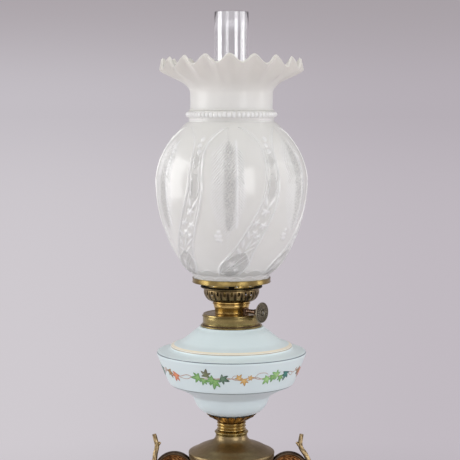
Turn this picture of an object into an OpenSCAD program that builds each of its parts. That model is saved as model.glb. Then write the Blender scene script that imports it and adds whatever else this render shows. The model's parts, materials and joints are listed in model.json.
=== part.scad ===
// Table kerosene lamp with a glass font, a round-wick burner, a glass chimney and a crimped glass shade.
// Z is up, the lamp stands on z = 0 and its axis is the Z axis. The front faces -Y. Millimetres.

/* [Feet and plinth] */
// Height of a bun foot
foot_h = 12; // [8:0.5:20]
// Radius of a bun foot
foot_r = 11; // [8:0.5:14]
// Distance of a foot's centre from the plinth's edge
foot_inset = 13; // [12:0.5:20]
// Radius of the screw that holds a foot
foot_screw_r = 1.8; // [1.2:0.1:2.5]
// Width of the square plinth
plinth_w = 158; // [150:1:180]
// Height of the plinth's lower slab
plinth_h = 10; // [8:0.5:16]
// Wall and top thickness of the lower slab
plinth_wall = 4; // [3:0.5:5]
// Corner radius of both slabs
plinth_corner_r = 5; // [2:0.5:8]
// Width of the upper slab
step_w = 144; // [134:1:148]
// Height of the upper slab
step_h = 8; // [5:0.5:12]
// Radius of the iron ballast disc
ballast_r = 50; // [40:1:52]
// Thickness of the ballast disc
ballast_h = 7; // [5:0.5:8]

/* [Bell foot and knop] */
// Radius of the bell foot where it stands on the plinth
bell_r = 62; // [54:1:66]
// Height of the bell foot
bell_h = 40; // [34:1:50]
// Radius of the bell foot's top
bell_top_r = 16; // [14:0.5:20]
// Wall thickness of the bell foot
bell_wall = 2.2; // [1.6:0.2:3]
// Largest radius of the stem knop
knop_r = 24; // [20:0.5:28]
// Height of the stem knop
knop_h = 18; // [14:0.5:24]

/* [Urn] */
// Radius of the urn's foot ring
urn_foot_r = 17; // [15:0.5:20]
// Radius of the urn's waist above its foot ring
urn_waist_r = 14; // [12:0.5:16]
// Height of the urn's lower swelling
urn_low_h = 51; // [44:1:60]
// Radius of the strap that the branches are screwed to
strap_r = 37; // [34:0.5:38]
// Height of the strap
strap_h = 8; // [8:0.5:12]
// Radius of the drum that the roundels sit against
urn_r = 39.4; // [38.5:0.1:41]
// Height of the drum
drum_h = 18; // [14:0.5:22]
// Wall thickness of the urn
urn_wall = 1.6; // [1.2:0.2:2.4]
// Radius of the ringed band under the shoulder
band_r = 45.5; // [44:0.5:48]
// Height of the ringed band
band_h = 5; // [4:0.5:8]
// Height of the domed shoulder without its neck
shoulder_h = 14; // [12:0.5:18]
// Radius of the shoulder's neck
shoulder_neck_r = 17.8; // [16.5:0.1:18]
// Height of the shoulder's neck
shoulder_neck_h = 6.4; // [4:0.2:9]
// Wall thickness of the shoulder
shoulder_wall = 1.4; // [1:0.1:2]

/* [Tie rod] */
// Radius of the rod that clamps the base together
rod_r = 3; // [2:0.25:4]
// Play of the rod in the pieces that it passes
rod_play = 0.2; // [0.1:0.05:0.4]
// Distance across the corners of a tie nut
nut_w = 12; // [10:0.5:14]
// Height of a tie nut
nut_h = 3.2; // [2.4:0.2:3.6]

/* [Roundels and branches] */
// Outer radius of a roundel
roundel_r = 22; // [19:0.5:23]
// Radial width of a roundel's rim
roundel_rim_w = 4.6; // [4:0.2:6]
// Thickness of a roundel's rim, front to back
roundel_t = 9; // [7:0.5:11]
// Thickness of a roundel's dished face
face_t = 4; // [3:0.5:6]
// Radius of the bosses on a roundel's face
boss_r = 2.6; // [1.8:0.2:3]
// Number of bosses round the middle one
boss_n = 8; // [6:1:10]
// Radius of a branch
branch_r = 2.5; // [2:0.1:3]
// Gap between a roundel and its branch
branch_gap = 0.15; // [0.1:0.05:0.4]
// Height of a branch tip above its roundel's centre
branch_tip_h = 40.5; // [34:0.5:46]
// Radius of the pad at a branch's foot
pad_r = 3.8; // [3.2:0.1:4]
// Radius of the screws in the urn's wall
side_screw_r = 1.6; // [1.2:0.1:2]
// Depth of a roundel's screw in its rim
side_screw_depth = 3; // [2:0.2:3.6]
// Radius of the rivets between roundel and branch
rivet_r = 1.1; // [0.8:0.1:1.4]

/* [Neck and crown] */
// Radius of the flange on the urn
flange_r = 18; // [17:0.5:20]
// Height of the flange
flange_h = 4.8; // [4:0.2:6]
// Radius of the rings on the neck
ring_neck_r = 15.5; // [14.5:0.1:17]
// Depth of the grooves between the rings
ring_groove = 1.6; // [1:0.1:2.5]
// Height of the ringed neck
ring_neck_h = 10; // [8:0.5:14]
// Radius of the crown's petals
crown_r = 25.9; // [25:0.1:28]
// Radius of the crown's foot
crown_foot_r = 14.4; // [13:0.2:15.4]
// Height of the crown
crown_h = 8.8; // [8:0.2:11]
// Wall thickness of the crown
crown_wall = 1.2; // [0.8:0.1:1.4]
// Number of petals
crown_petals = 18; // [12:1:24]
// Thickness of the plaster bed under the font
bed_h = 4; // [3.8:0.2:4.4]

/* [Font] */
// Largest radius of the font, at the top of the painted wall
font_r = 79.1; // [72:0.5:86]
// Radius at the foot of the painted wall
font_low_r = 65.9; // [60:0.5:68]
// Height of the painted wall
font_wall_h = 35; // [28:0.5:44]
// Radius of the font's lower bowl
font_bowl_r = 40.3; // [38:0.5:44]
// Height of the lower bowl
font_bowl_h = 17; // [15:0.5:20]
// Height of the cove between bowl and wall
font_cove_h = 15; // [12:0.5:18]
// Radius of the upper step
font_step_r = 64.2; // [60:0.5:67]
// Height of the upper step
font_step_h = 8; // [6:0.5:10]
// Height of the slope from the step to the collar
font_slope_h = 18; // [16:0.5:24]
// Radius of the font's neck under the collar
font_neck_r = 33.9; // [33:0.1:36]
// Wall thickness of the glass
font_wall = 3.6; // [2.6:0.2:4]
// Radius of the font's mouth
mouth_r = 29; // [28.6:0.1:29.8]
// Thickness of the glass at the mouth, measured downwards
mouth_lip_h = 5; // [4:0.5:7]

/* [Collar] */
// Outer radius of the collar's flange
collar_r = 32.6; // [31.5:0.1:33.2]
// Thickness of the collar's flange
collar_h = 1.8; // [1.2:0.1:2.6]
// Outer radius of the collar's skirt
skirt_r = 27.6; // [27:0.1:28]
// Length of the collar's skirt below its flange
skirt_h = 11; // [9:0.5:13]
// Radius of the collar's thread, taken as a plain bore
thread_r = 25.5; // [24.5:0.1:26]
// Radial play of the burner in the collar
thread_play = 0.1; // [0.05:0.01:0.1]
// Length of the burner's threaded sleeve in the collar
thread_h = 7; // [5:0.5:9]
// Thickness of the collar's washer
washer_h = 0.8; // [0.5:0.1:1.5]

/* [Burner] */
// Radius of the burner's cap
cap_r = 30.4; // [29.5:0.1:32]
// Height of the burner's cap
cap_h = 11.2; // [10:0.2:14]
// Sheet thickness of the burner
sheet = 0.9; // [0.7:0.05:1]
// How far the cap's bead stands out
cap_bead = 0.7; // [0.4:0.1:1.2]
// Radius of the burner's neck at its foot
burner_neck_r = 17.5; // [17.2:0.1:19]
// Height of the burner's neck
burner_neck_h = 13; // [12:0.5:16]
// Radius of the ring at the neck's top
neck_ring_r = 20; // [19.6:0.1:21]
// Largest radius of the pierced bowl below its lip
bowl_r = 29.3; // [28.8:0.1:31]
// Radius of the bowl's lip
lip_r = 32.5; // [31.6:0.1:33.5]
// Height of the pierced bowl
bowl_h = 15.4; // [14:0.2:18]
// Number of slots round the bowl
slot_n = 24; // [12:1:28]
// Width of a slot
slot_w = 1.6; // [1:0.1:2]
// Height of a slot
slot_h = 4.6; // [3:0.2:5.5]
// Radius of the hole in the chimney seat
seat_bore_r = 22.5; // [21:0.1:23.5]
// Number of prongs that hold the chimney
prong_n = 6; // [4:1:8]
// Height of a prong
prong_h = 15; // [10:0.5:20]

/* [Wick and tubes] */
// Inner radius of the wick
wick_r = 10; // [9.6:0.05:10.1]
// Thickness of the wick
wick_t = 2; // [1.8:0.05:2.1]
// Gap between the wick and the tubes
wick_gap = 0.3; // [0.2:0.05:0.4]
// Gap between the outer tube and the wick's carrier
carrier_gap = 0.2; // [0.15:0.05:0.3]
// Thickness of the wick's carrier
carrier_t = 0.4; // [0.3:0.05:0.5]
// Sheet thickness of the tubes
tube_t = 0.5; // [0.4:0.05:0.6]
// Height of the tubes above the chimney seat
tube_top_h = 6.5; // [3:0.5:10]
// Height of the wick above the tubes at rest
wick_show = 1.5; // [0.5:0.5:4]
// Length of the wick's tails below the tubes
tail_h = 58; // [30:1:66]
// Travel of the wick
wick_lift = 15; // [8:0.5:16]
// Width of the air port behind the burner
port_w = 8; // [6:0.5:9]
// Height of the air port
port_h = 6.5; // [5:0.5:7]

/* [Wick raiser] */
// Direction of the spindle, turned from +X
knob_turn = -37; // [-60:1:60]
// Height of the spindle above the cap
spindle_h = 3.6; // [3.4:0.1:4]
// Radius of the spindle
spindle_r = 1.1; // [0.9:0.05:1.3]
// Radial play of the spindle in its housing
spindle_play = 0.05; // [0.03:0.01:0.1]
// Outer radius of the spindle's housing
housing_r = 2.3; // [2:0.1:2.6]
// Distance of the knob's face from the lamp's axis
knob_out = 41; // [36:0.5:48]
// Radius of the knob
knob_r = 10.8; // [8:0.1:12]
// Thickness of the knob's disc
knob_t = 2.2; // [1.6:0.1:3]
// Number of rays on the knob
knob_rays = 20; // [12:1:28]
// Number of teeth on the pinion
pinion_n = 10; // [8:1:10]
// Pitch radius of the pinion
pinion_r = 2.5; // [2.4:0.05:2.6]
// Thickness of the pinion
pinion_t = 1.8; // [1.4:0.1:2]

/* [Shade ring] */
// Outer radius of the shade ring
shade_ring_r = 41.4; // [40.5:0.1:44]
// Height of the shade ring
shade_ring_h = 5.3; // [4:0.1:8]
// Sheet thickness of the shade ring
shade_ring_t = 0.8; // [0.6:0.1:1.2]
// Height of the shade ring above the bowl's lip
shade_ring_up = 4.5; // [3:0.1:8]
// Width of the ledge that the shade stands on
ledge_w = 4.2; // [3.6:0.1:5]
// Number of arms under the shade ring
arm_n = 3; // [3:1:6]
// Width of an arm
arm_w = 6; // [4:0.5:8]
// Gap between the shade and its ring
shade_gap = 0.4; // [0.3:0.1:0.6]

/* [Chimney] */
// Outer radius of the chimney's foot
chimney_foot_r = 26; // [25.4:0.1:26]
// Height of the chimney's foot up to the throat
chimney_foot_h = 42; // [34:1:50]
// Outer radius of the throat
throat_r = 16.5; // [16:0.1:17.5]
// Outer radius of the tube
chimney_r = 18; // [17:0.1:20]
// Height of the chimney
chimney_h = 286.6; // [250:1:320]
// Wall thickness of the chimney
chimney_wall = 1.8; // [1.4:0.1:2.2]
// Gap between the chimney's foot and the prongs
prong_gap = 0.35; // [0.3:0.05:0.5]

/* [Shade] */
// Largest radius of the shade, at the bands
shade_r = 79.3; // [74:0.5:84]
// How far the lobes bulge past the bands
lobe_out = 2; // [0.5:0.1:3]
// Number of lobes
lobe_n = 6; // [4:1:8]
// Turn of the lobes from belly to foot, in degrees
lobe_swirl = 36; // [0:1:50]
// Height of the straight foot inside the ring
shade_foot_h = 5.2; // [4.6:0.1:9]
// Height of the lower body, from the foot to the belly
shade_low_h = 96; // [80:1:110]
// Height of the upper body, from the belly to the neck
shade_up_h = 63; // [50:1:75]
// Radius of the shade's neck
shade_neck_r = 44.4; // [40:0.2:50]
// Radius of the collar bead round the neck
shade_bead_r = 48.1; // [46:0.1:54]
// Height of the collar bead
shade_bead_h = 12.5; // [8:0.5:16]
// Height of the neck above the bead
shade_neck_h = 16; // [10:0.5:24]
// Height of the flare
shade_flare_h = 23; // [16:0.5:30]
// Radius of the crimped rim
shade_rim_r = 74.6; // [66:0.2:80]
// Height from the flare to the middle of the crimps
rim_up = 8; // [4:0.5:12]
// Half the height of a crimp
crimp_h = 6.8; // [2:0.2:8]
// Number of crimps
crimp_n = 18; // [12:1:20]
// Wall thickness of the shade
shade_wall = 2.8; // [2:0.2:3.2]

/* [Hidden] */
$fn = 72;

// Heights, from the feet up
z_plinth = foot_h;
z_step = z_plinth + plinth_h;
z_bell = z_step + step_h;
z_knop = z_bell + bell_h;
z_urn = z_knop + knop_h;
urn_foot_h = 7;
z_strap = z_urn + urn_foot_h + urn_low_h;
rise_h = 22;
z_drum = z_strap + strap_h + rise_h;
lip_rise = 6;
z_band = z_drum + drum_h + lip_rise;
z_shoulder = z_band + band_h;
z_flange = z_shoulder + shoulder_h + shoulder_neck_h;
z_neck = z_flange + flange_h;
z_crown = z_neck + ring_neck_h;
z_bed = z_crown + crown_wall;
z_font = z_bed + bed_h;
font_base_h = 3.6;
z_cove = z_font + font_base_h + font_bowl_h;
z_wall = z_cove + font_cove_h;
z_tier = z_wall + font_wall_h;
z_slope = z_tier + font_step_h;
z_collar = z_slope + font_slope_h;
z_washer = z_collar + collar_h;
z_cap = z_washer + washer_h;
z_burner_neck = z_cap + cap_h;
z_bowl = z_burner_neck + burner_neck_h;
z_lip = z_bowl + bowl_h;
z_seat = z_lip + sheet;
z_ring = z_lip + shade_ring_up;
z_shade = z_ring + shade_ring_t;
z_spindle = z_burner_neck + spindle_h;
z_roundel = z_drum + drum_h / 2;

// Radii of the wick's tubes, from the inside out
inner_tube_r = wick_r - wick_gap;
wick_out_r = wick_r + wick_t;
carrier_r = wick_out_r + carrier_t;
tube_bore_r = carrier_r + carrier_gap;
tube_r = tube_bore_r + tube_t;
tube_top = z_seat + tube_top_h;
tube_low = z_collar - 4;
shade_fit_r = shade_ring_r - shade_ring_t - shade_gap;
roundel_x = urn_r - 0.5 + roundel_r;
foot_at = plinth_w / 2 - foot_inset;

// Helpers for turned outlines
function back(p) = [for (i = [len(p) - 1:-1:0]) p[i]];
function under(p, z) = [for (q = p) [q[0], min(q[1], z)]];
function inward(p, t) = [for (i = [0:len(p) - 1])
    let (a = p[max(i - 1, 0)], b = p[min(i + 1, len(p) - 1)], d = b - a)
    p[i] + t * [-d[1], d[0]] / norm(d)];
function arc(c, r, a0, a1, n) = [for (i = [0:n]) let (a = a0 + (a1 - a0) * i / n) c + r * [cos(a), sin(a)]];
function bulge(r, out, z0, z1, n) = [for (i = [0:n])
    let (t = i / n) [r + out * sin(180 * t), z0 + (z1 - z0) * t]];
function blend(a, b, t) = a + (b - a) * (1 - cos(180 * t)) / 2;

module turned(p) {
    rotate_extrude() polygon(p);
}

// A turned wall of one thickness, closed to the axis at neither end
module turned_shell(p, t) {
    turned(concat(p, back(inward(p, t))));
}

module slab(w, h) {
    r = plinth_corner_r;
    union() {
        translate([-w / 2 + r, -w / 2, 0]) cube([w - 2 * r, w, h]);
        translate([-w / 2, -w / 2 + r, 0]) cube([w, w - 2 * r, h]);
        for (x = [-1, 1], y = [-1, 1])
            translate([x * (w / 2 - r), y * (w / 2 - r), 0]) cylinder(r = r, h = h);
    }
}

module at_feet() {
    for (x = [-1, 1], y = [-1, 1]) translate([x * foot_at, y * foot_at, 0]) children();
}

// Feet and plinth
screw_head_h = 1.8;
screw_sink = 3;
module feet() {
    waist = 0.72;
    color("goldenrod") at_feet() difference() {
        turned(concat([[0, 0]], bulge(foot_r * waist, foot_r * (1 - waist), 0, foot_h, 10), [[0, foot_h]]));
        translate([0, 0, -1]) cylinder(r = foot_screw_r, h = foot_h + 2);
        translate([0, 0, -1]) cylinder(r = foot_screw_r * 2 + 0.3, h = screw_sink + 1);
    }
}

module foot_screws() {
    top = z_step - plinth_wall;
    color("dimgray") at_feet() union() {
        translate([0, 0, screw_sink - screw_head_h]) cylinder(r = foot_screw_r * 2, h = screw_head_h);
        translate([0, 0, screw_sink - screw_head_h]) cylinder(r = foot_screw_r, h = top - screw_sink);
    }
}

module plinth_lower() {
    inner = plinth_w - 2 * plinth_wall;
    color("peru") difference() {
        translate([0, 0, z_plinth]) slab(plinth_w, plinth_h);
        difference() {
            translate([-inner / 2, -inner / 2, z_plinth - 1])
                cube([inner, inner, plinth_h - plinth_wall + 1]);
            at_feet() translate([0, 0, z_plinth - 2]) cylinder(r = foot_screw_r * 3, h = plinth_h);
        }
        at_feet() translate([0, 0, z_plinth - 1]) cylinder(r = foot_screw_r, h = plinth_h - plinth_wall + 1);
        translate([0, 0, z_plinth]) cylinder(r = rod_r + rod_play, h = plinth_h + 1);
    }
}

module plinth_upper() {
    color("peru") difference() {
        translate([0, 0, z_step]) slab(step_w, step_h);
        translate([0, 0, z_step - 1]) cylinder(r = bell_r - bell_rim_w - 3, h = step_h + 2);
    }
}

module ballast() {
    color("dimgray") translate([0, 0, z_step - plinth_wall - ballast_h]) difference() {
        cylinder(r = ballast_r, h = ballast_h);
        translate([0, 0, -1]) cylinder(r = rod_r + rod_play, h = ballast_h + 2);
    }
}

bell_rim_h = 3;
bell_rim_w = 6;
bell_top_h = 3;
bell_sweep = 2.4;
module bell_foot() {
    flare_h = bell_h - bell_rim_h - bell_top_h;
    flare = [for (i = [0:12]) let (t = i / 12)
        [bell_top_r + (bell_r - bell_top_r) * pow(1 - t, bell_sweep), z_bell + bell_rim_h + flare_h * t]];
    wall = inward(flare, bell_wall);
    color("darkgoldenrod") turned(concat(
        [[bell_r - bell_rim_w, z_bell], [bell_r, z_bell], [bell_r, z_bell + bell_rim_h]],
        flare,
        [[bell_top_r + 1, z_knop - bell_top_h], [bell_top_r + 1, z_knop], [rod_r + rod_play, z_knop],
            [rod_r + rod_play, z_knop - bell_top_h]],
        back([for (i = [1:len(wall) - 1]) wall[i]]),
        [[bell_r - bell_rim_w, z_bell + bell_rim_h - 1]]));
}

module stem_knop() {
    collar = 2.5;
    color("goldenrod") turned(concat(
        [[rod_r + rod_play, z_knop], [bell_top_r, z_knop], [bell_top_r, z_knop + collar]],
        bulge(bell_top_r - 2, knop_r - bell_top_r + 2, z_knop + collar, z_urn - collar, 14),
        [[bell_top_r, z_urn - collar], [bell_top_r, z_urn], [rod_r + rod_play, z_urn]]));
}

// Urn
strap_step = 1.5;
module urn_bowl() {
    swell_r = strap_r - strap_step;
    swell = [for (i = [0:12]) let (t = i / 12)
        [urn_waist_r + (swell_r - urn_waist_r) * pow(sin(90 * t), 1.15), z_urn + urn_foot_h + urn_low_h * t]];
    wall = concat(swell,
        [[strap_r, z_strap + 0.6], [strap_r, z_strap + strap_h - 0.6], [swell_r, z_strap + strap_h]],
        [for (i = [1:6]) [blend(swell_r, urn_r, i / 6), z_strap + strap_h + rise_h * i / 6]],
        [[urn_r, z_drum + drum_h]],
        [for (i = [1:5])
            [urn_r + (band_r - 3 - urn_r) * pow(i / 5, 2), z_drum + drum_h + lip_rise * i / 5]]);
    color("darkgoldenrod") difference() {
        turned(concat(
            [[rod_r + rod_play, z_urn], [urn_foot_r, z_urn], [urn_foot_r, z_urn + 3]],
            wall,
            back(under(inward(wall, urn_wall), z_band)),
            [[rod_r + rod_play, z_urn + urn_foot_h]]));
        for (s = [-1, 1]) {
            side_hole(s, z_roundel, urn_r);
            side_hole(s, z_strap + strap_h / 2, strap_r);
        }
    }
}

module side_hole(s, z, r) {
    translate([s * (r - 5), 0, z]) rotate([0, s * 90, 0]) cylinder(r = side_screw_r, h = 8);
}

module urn_band() {
    third = band_h / 3;
    color("goldenrod") turned(concat(
        [[band_r - 5, z_band], [band_r - 1.2, z_band]],
        bulge(band_r - 1.2, 0.9, z_band, z_band + third, 6),
        bulge(band_r - 1.2, 1.2, z_band + third, z_band + 2 * third, 6),
        bulge(band_r - 1.2, 0.9, z_band + 2 * third, z_shoulder, 6),
        [[band_r - 5, z_shoulder]]));
}

module urn_shoulder() {
    cove = 2.2;
    edge = 1;
    rebate = 1.3;
    dome_r = shoulder_neck_r + cove;
    z_dome = z_shoulder + shoulder_h;
    dome = [for (i = [0:12]) let (a = 90 * i / 12)
        [dome_r + (band_r - dome_r) * cos(a), z_shoulder + edge + (shoulder_h - edge) * pow(sin(a), 1.1)]];
    neck = [for (i = [1:5]) let (t = i / 5)
        [shoulder_neck_r + cove * pow(1 - t, 2), z_dome + (shoulder_neck_h - 1.6) * t]];
    wall = concat([[band_r, z_shoulder]], dome, neck);
    inner = inward(wall, shoulder_wall);
    color("olive") turned(concat(
        [[band_r - 4, z_shoulder]],
        wall,
        [[shoulder_neck_r - rebate, z_flange - 1.4], [shoulder_neck_r - rebate, z_flange],
            [rod_r + rod_play, z_flange], [rod_r + rod_play, z_flange - 3]],
        back([for (i = [2:len(inner) - 1]) inner[i]]),
        [[band_r - 4, z_shoulder + 1.2]]));
}

// Tie rod
rod_low = z_step - plinth_wall - ballast_h - nut_h;
module tie_rod() {
    color("dimgray") translate([0, 0, rod_low]) cylinder(r = rod_r, h = z_bed + nut_h - rod_low);
}

module nut() {
    difference() {
        cylinder(d = nut_w, h = nut_h, $fn = 6);
        translate([0, 0, -1]) cylinder(r = rod_r, h = nut_h + 2);
    }
}

module tie_nuts() {
    color("gray") union() {
        translate([0, 0, rod_low]) nut();
        translate([0, 0, z_bed]) nut();
    }
}

// Roundels and branches
module at_roundel(s) {
    translate([s * roundel_x, 0, z_roundel]) rotate([90, 0, 0]) children();
}

module roundel_rim(s) {
    half = roundel_t / 2;
    round = 1.5;
    face_r = roundel_r - roundel_rim_w;
    color("tan") difference() {
        at_roundel(s) difference() {
            turned(concat([[face_r, -half + round], [face_r + 1, -half]],
                [[roundel_r - round, -half]], arc([roundel_r - round, -half + round], round, -90, 0, 4),
                arc([roundel_r - round, half - round], round, 0, 90, 4),
                [[face_r + 1, half], [face_r, half - round]]));
            rotate([0, s > 0 ? -90 : 90, 0]) translate([0, 0, roundel_r - side_screw_depth - 0.5])
                cylinder(r = side_screw_r, h = 5);
            rotate([0, s > 0 ? 90 : -90, 0]) translate([0, 0, roundel_r - roundel_rim_w + 1])
                cylinder(r = rivet_r, h = 5);
        }
        translate([0, 0, z_roundel - roundel_r]) cylinder(r = urn_r, h = 2 * roundel_r);
    }
}

module roundel_rim_left() {
    roundel_rim(-1);
}

module roundel_rim_right() {
    roundel_rim(1);
}

// The face is dished on both sides, with a rosette of round bosses
module roundel_face(s) {
    r = roundel_r - roundel_rim_w;
    half = face_t / 2;
    dish = 0.8;
    dish_r = r * 0.8;
    ring_at = r * 0.52;
    boss_sink = 1.2;
    color("sienna") at_roundel(s) union() {
        turned([[0, dish - half], [dish_r, dish - half], [r, -half], [r, half], [dish_r, half - dish],
            [0, half - dish]]);
        for (side = [-1, 1]) translate([0, 0, side * (half - boss_sink)]) {
            sphere(r = boss_r * 1.3);
            for (i = [0:boss_n - 1]) rotate([0, 0, 360 * i / boss_n])
                translate([ring_at, 0, 0]) sphere(r = boss_r);
        }
    }
}

module roundel_face_left() {
    roundel_face(-1);
}

module roundel_face_right() {
    roundel_face(1);
}

// A straight tapered twig between two points of the XZ plane, with a knot at its far end
knot = 1.06;
module twig(a, b, ra, rb) {
    d = b - a;
    translate([a[0], 0, a[1]]) rotate([0, atan2(d[0], d[1]), 0]) {
        cylinder(r1 = ra, r2 = rb, h = norm(d));
        translate([0, 0, norm(d)]) sphere(r = rb * knot);
    }
}

// One branch: an arc round the roundel, a stem up to the tip, a side shoot, and a foot screwed to the strap.
// The points are offsets from the roundel's centre, for a branch on the right.
module branch(s, stem, shoot) {
    c = [roundel_x, z_roundel];
    ra = roundel_r + branch_gap + branch_r;
    high = 30;
    low = -118;
    foot = [strap_r + pad_r, z_strap + strap_h / 2];
    start = c + ra * [cos(high), sin(high)];
    finish = c + ra * [cos(low), sin(low)];
    points = concat([start], [for (p = stem) c + p]);
    color("goldenrod") difference() {
        mirror([s > 0 ? 0 : 1, 0, 0]) union() {
            translate([c[0], 0, c[1]]) rotate([90, 0, 0]) rotate([0, 0, low])
                rotate_extrude(angle = high - low) translate([ra, 0]) circle(r = branch_r);
            for (i = [0:len(points) - 2])
                twig(points[i], points[i + 1], branch_r * (1 - 0.06 * i), branch_r * (1 - 0.06 * (i + 1)));
            translate([start[0], 0, start[1]]) sphere(r = branch_r * knot);
            translate([finish[0], 0, finish[1]]) sphere(r = branch_r * knot);
            twig(points[2], c + shoot, branch_r * 0.7, branch_r * 0.55);
            twig(finish, foot, branch_r, branch_r * 1.1);
            translate([strap_r - 2, 0, foot[1]]) rotate([0, 90, 0]) cylinder(r = pad_r, h = pad_r + 2);
        }
        cylinder(r = strap_r, h = z_drum);
        side_hole(s, foot[1], strap_r);
        at_roundel(s) rotate([0, s > 0 ? 90 : -90, 0]) cylinder(r = rivet_r, h = ra + 1);
    }
}

module branch_left() {
    branch(-1, [[20.3, 19.2], [18.6, 26.7], [19.7, 33.2], [21.5, branch_tip_h]], [15.2, 31.5]);
}

module branch_right() {
    branch(1, [[17.5, 19.2], [13.2, 25.7], [12.6, 32.2], [13.9, branch_tip_h]], [8.4, 31.5]);
}

// A screw whose head lies inside the urn
module side_screw(s, z, r, length) {
    head_h = 1.6;
    start = r - urn_wall - 0.25 - head_h;
    translate([s * start, 0, z]) rotate([0, s * 90, 0]) {
        cylinder(r = side_screw_r * 1.8, h = head_h);
        cylinder(r = side_screw_r, h = length + urn_wall + head_h);
    }
}

module roundel_screws() {
    color("gray") for (s = [-1, 1]) side_screw(s, z_roundel, urn_r, side_screw_depth);
}

module branch_screws() {
    color("gray") for (s = [-1, 1]) side_screw(s, z_strap + strap_h / 2, strap_r, side_screw_depth - 0.4);
}

module branch_rivets() {
    length = roundel_rim_w + branch_gap + branch_r;
    color("goldenrod") for (s = [-1, 1]) at_roundel(s) rotate([0, s > 0 ? 90 : -90, 0])
        translate([0, 0, roundel_r - roundel_rim_w + 1]) cylinder(r = rivet_r, h = length);
}

// Neck and crown
module neck_flange() {
    out = 1.2;
    z_mid = z_flange + flange_h * 0.55;
    color("goldenrod") turned(concat(
        [[rod_r + rod_play, z_flange], [flange_r - out, z_flange]],
        bulge(flange_r - out, out / 2, z_flange, z_mid, 6),
        bulge(flange_r - out, out, z_mid, z_neck, 6),
        [[rod_r + rod_play, z_neck]]));
}

module ringed_neck() {
    n = 3;
    step = ring_neck_h / n;
    groove_r = ring_neck_r - ring_groove;
    rings = [for (i = [0:n - 1]) each
        concat(bulge(groove_r, ring_groove, z_neck + step * i, z_neck + step * (i + 0.72), 6),
            [[groove_r, z_neck + step * (i + 1)]])];
    color("goldenrod") turned(concat([[rod_r + rod_play, z_neck]], rings, [[rod_r + rod_play, z_crown]]));
}

crown_outer = [for (i = [0:10]) let (t = i / 10)
    [crown_foot_r + (crown_r - crown_foot_r) * pow(t, 0.85), z_crown + crown_h * t]];
crown_inner = under(inward(crown_outer, crown_wall), z_crown + crown_h);

module crown_cup() {
    notch = 3.14159 * crown_r / crown_petals * 0.42;
    color("chocolate") difference() {
        turned(concat([[rod_r + rod_play, z_crown]], crown_outer,
            back([for (p = crown_inner) if (p[1] > z_bed + 0.3) p]),
            [[crown_inner[1][0], z_bed], [rod_r + rod_play, z_bed]]));
        for (i = [0:crown_petals - 1]) rotate([0, 0, 360 * (i + 0.5) / crown_petals])
            translate([crown_r - 6, 0, z_crown + crown_h]) rotate([0, 90, 0]) cylinder(r = notch, h = 10);
    }
}

module crown_plaster() {
    play = 0.2;
    in = concat([[crown_inner[1][0] - play, z_bed]],
        [for (p = crown_inner) if (p[1] > z_bed + 0.3 && p[1] < z_font) p - [play, 0]]);
    last = in[len(in) - 1];
    color("gainsboro") difference() {
        turned(concat([[0, z_bed]], in, [[last[0], z_font], [0, z_font]]));
        translate([0, 0, z_bed - 1]) cylinder(d = nut_w + 0.4, h = nut_h + 1.2);
    }
}

// Font: bottom, bowl, cove, painted wall, two rounded steps, slope and neck
font_foot_r = crown_foot_r + 4;
module font_glass() {
    edge = 2.6;
    start = crown_r - edge;
    slope_r = font_step_r - 2;
    cove_w = font_low_r - 1 - font_bowl_r;
    slope = [for (i = [1:6]) let (t = i / 6)
        [slope_r + (font_neck_r + 1 - slope_r) * pow(t, 0.9),
            z_slope + 1.2 + (font_slope_h - 3.2) * pow(t, 1.25)]];
    outer = concat(
        [[0, z_font], [font_foot_r, z_font], [start, z_font + font_base_h - 0.2]],
        arc([start, z_cove], font_bowl_h, -78, 0, 8),
        [for (i = [0:6]) let (t = i / 6)
            [font_bowl_r + cove_w * pow(t, 1.15), z_cove + 1 + (font_cove_h - 1) * pow(t, 0.9)]],
        [for (i = [0:5]) let (t = i / 5)
            [font_low_r + (font_r - font_low_r) * pow(t, 0.92),
                z_wall + 0.8 + (font_wall_h - edge - 0.8) * t]],
        arc([font_r - edge, z_tier - edge], edge, 20, 80, 5),
        [[font_step_r + 2, z_tier + 1.6]],
        arc([font_step_r - 1.6, z_slope - 3.4], 1.8, -20, 80, 5),
        slope,
        [[font_neck_r, z_collar]]);
    inner = [[0, z_font + font_wall], [font_foot_r - 1, z_font + font_wall], [crown_r + 4, z_cove - 8],
        [font_bowl_r - font_wall - 1, z_cove + 1.5], [font_low_r - font_wall, z_wall + font_wall],
        [font_r - font_wall, z_tier - font_wall - 2], [font_step_r - font_wall, z_tier - 2],
        [font_step_r - font_wall - 4, z_slope - font_wall], [mouth_r + 10, z_collar - mouth_lip_h - 4],
        [mouth_r, z_collar - mouth_lip_h], [mouth_r, z_collar]];
    color("lightcyan") turned(concat(outer, back(inner)));
}

module font_plaster() {
    color("gainsboro") translate([0, 0, z_collar - skirt_h]) difference() {
        union() {
            translate([0, 0, skirt_h - mouth_lip_h]) cylinder(r = mouth_r, h = mouth_lip_h);
            cylinder(r1 = skirt_r + 0.4, r2 = mouth_r, h = skirt_h - mouth_lip_h);
        }
        translate([0, 0, -1]) cylinder(r = skirt_r, h = skirt_h + 2);
    }
}

module font_collar() {
    round = 0.6;
    color("goldenrod") turned(concat(
        [[thread_r, z_collar - skirt_h], [skirt_r, z_collar - skirt_h], [skirt_r, z_collar],
            [collar_r - round, z_collar]],
        arc([collar_r - round, z_collar + round], round, -90, 0, 4),
        arc([collar_r - round, z_washer - round], round, 0, 90, 4),
        [[thread_r, z_washer]]));
}

module collar_washer() {
    color("saddlebrown") translate([0, 0, z_washer]) difference() {
        cylinder(r = cap_r, h = washer_h);
        translate([0, 0, -1]) cylinder(r = thread_r, h = washer_h + 2);
    }
}

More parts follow.
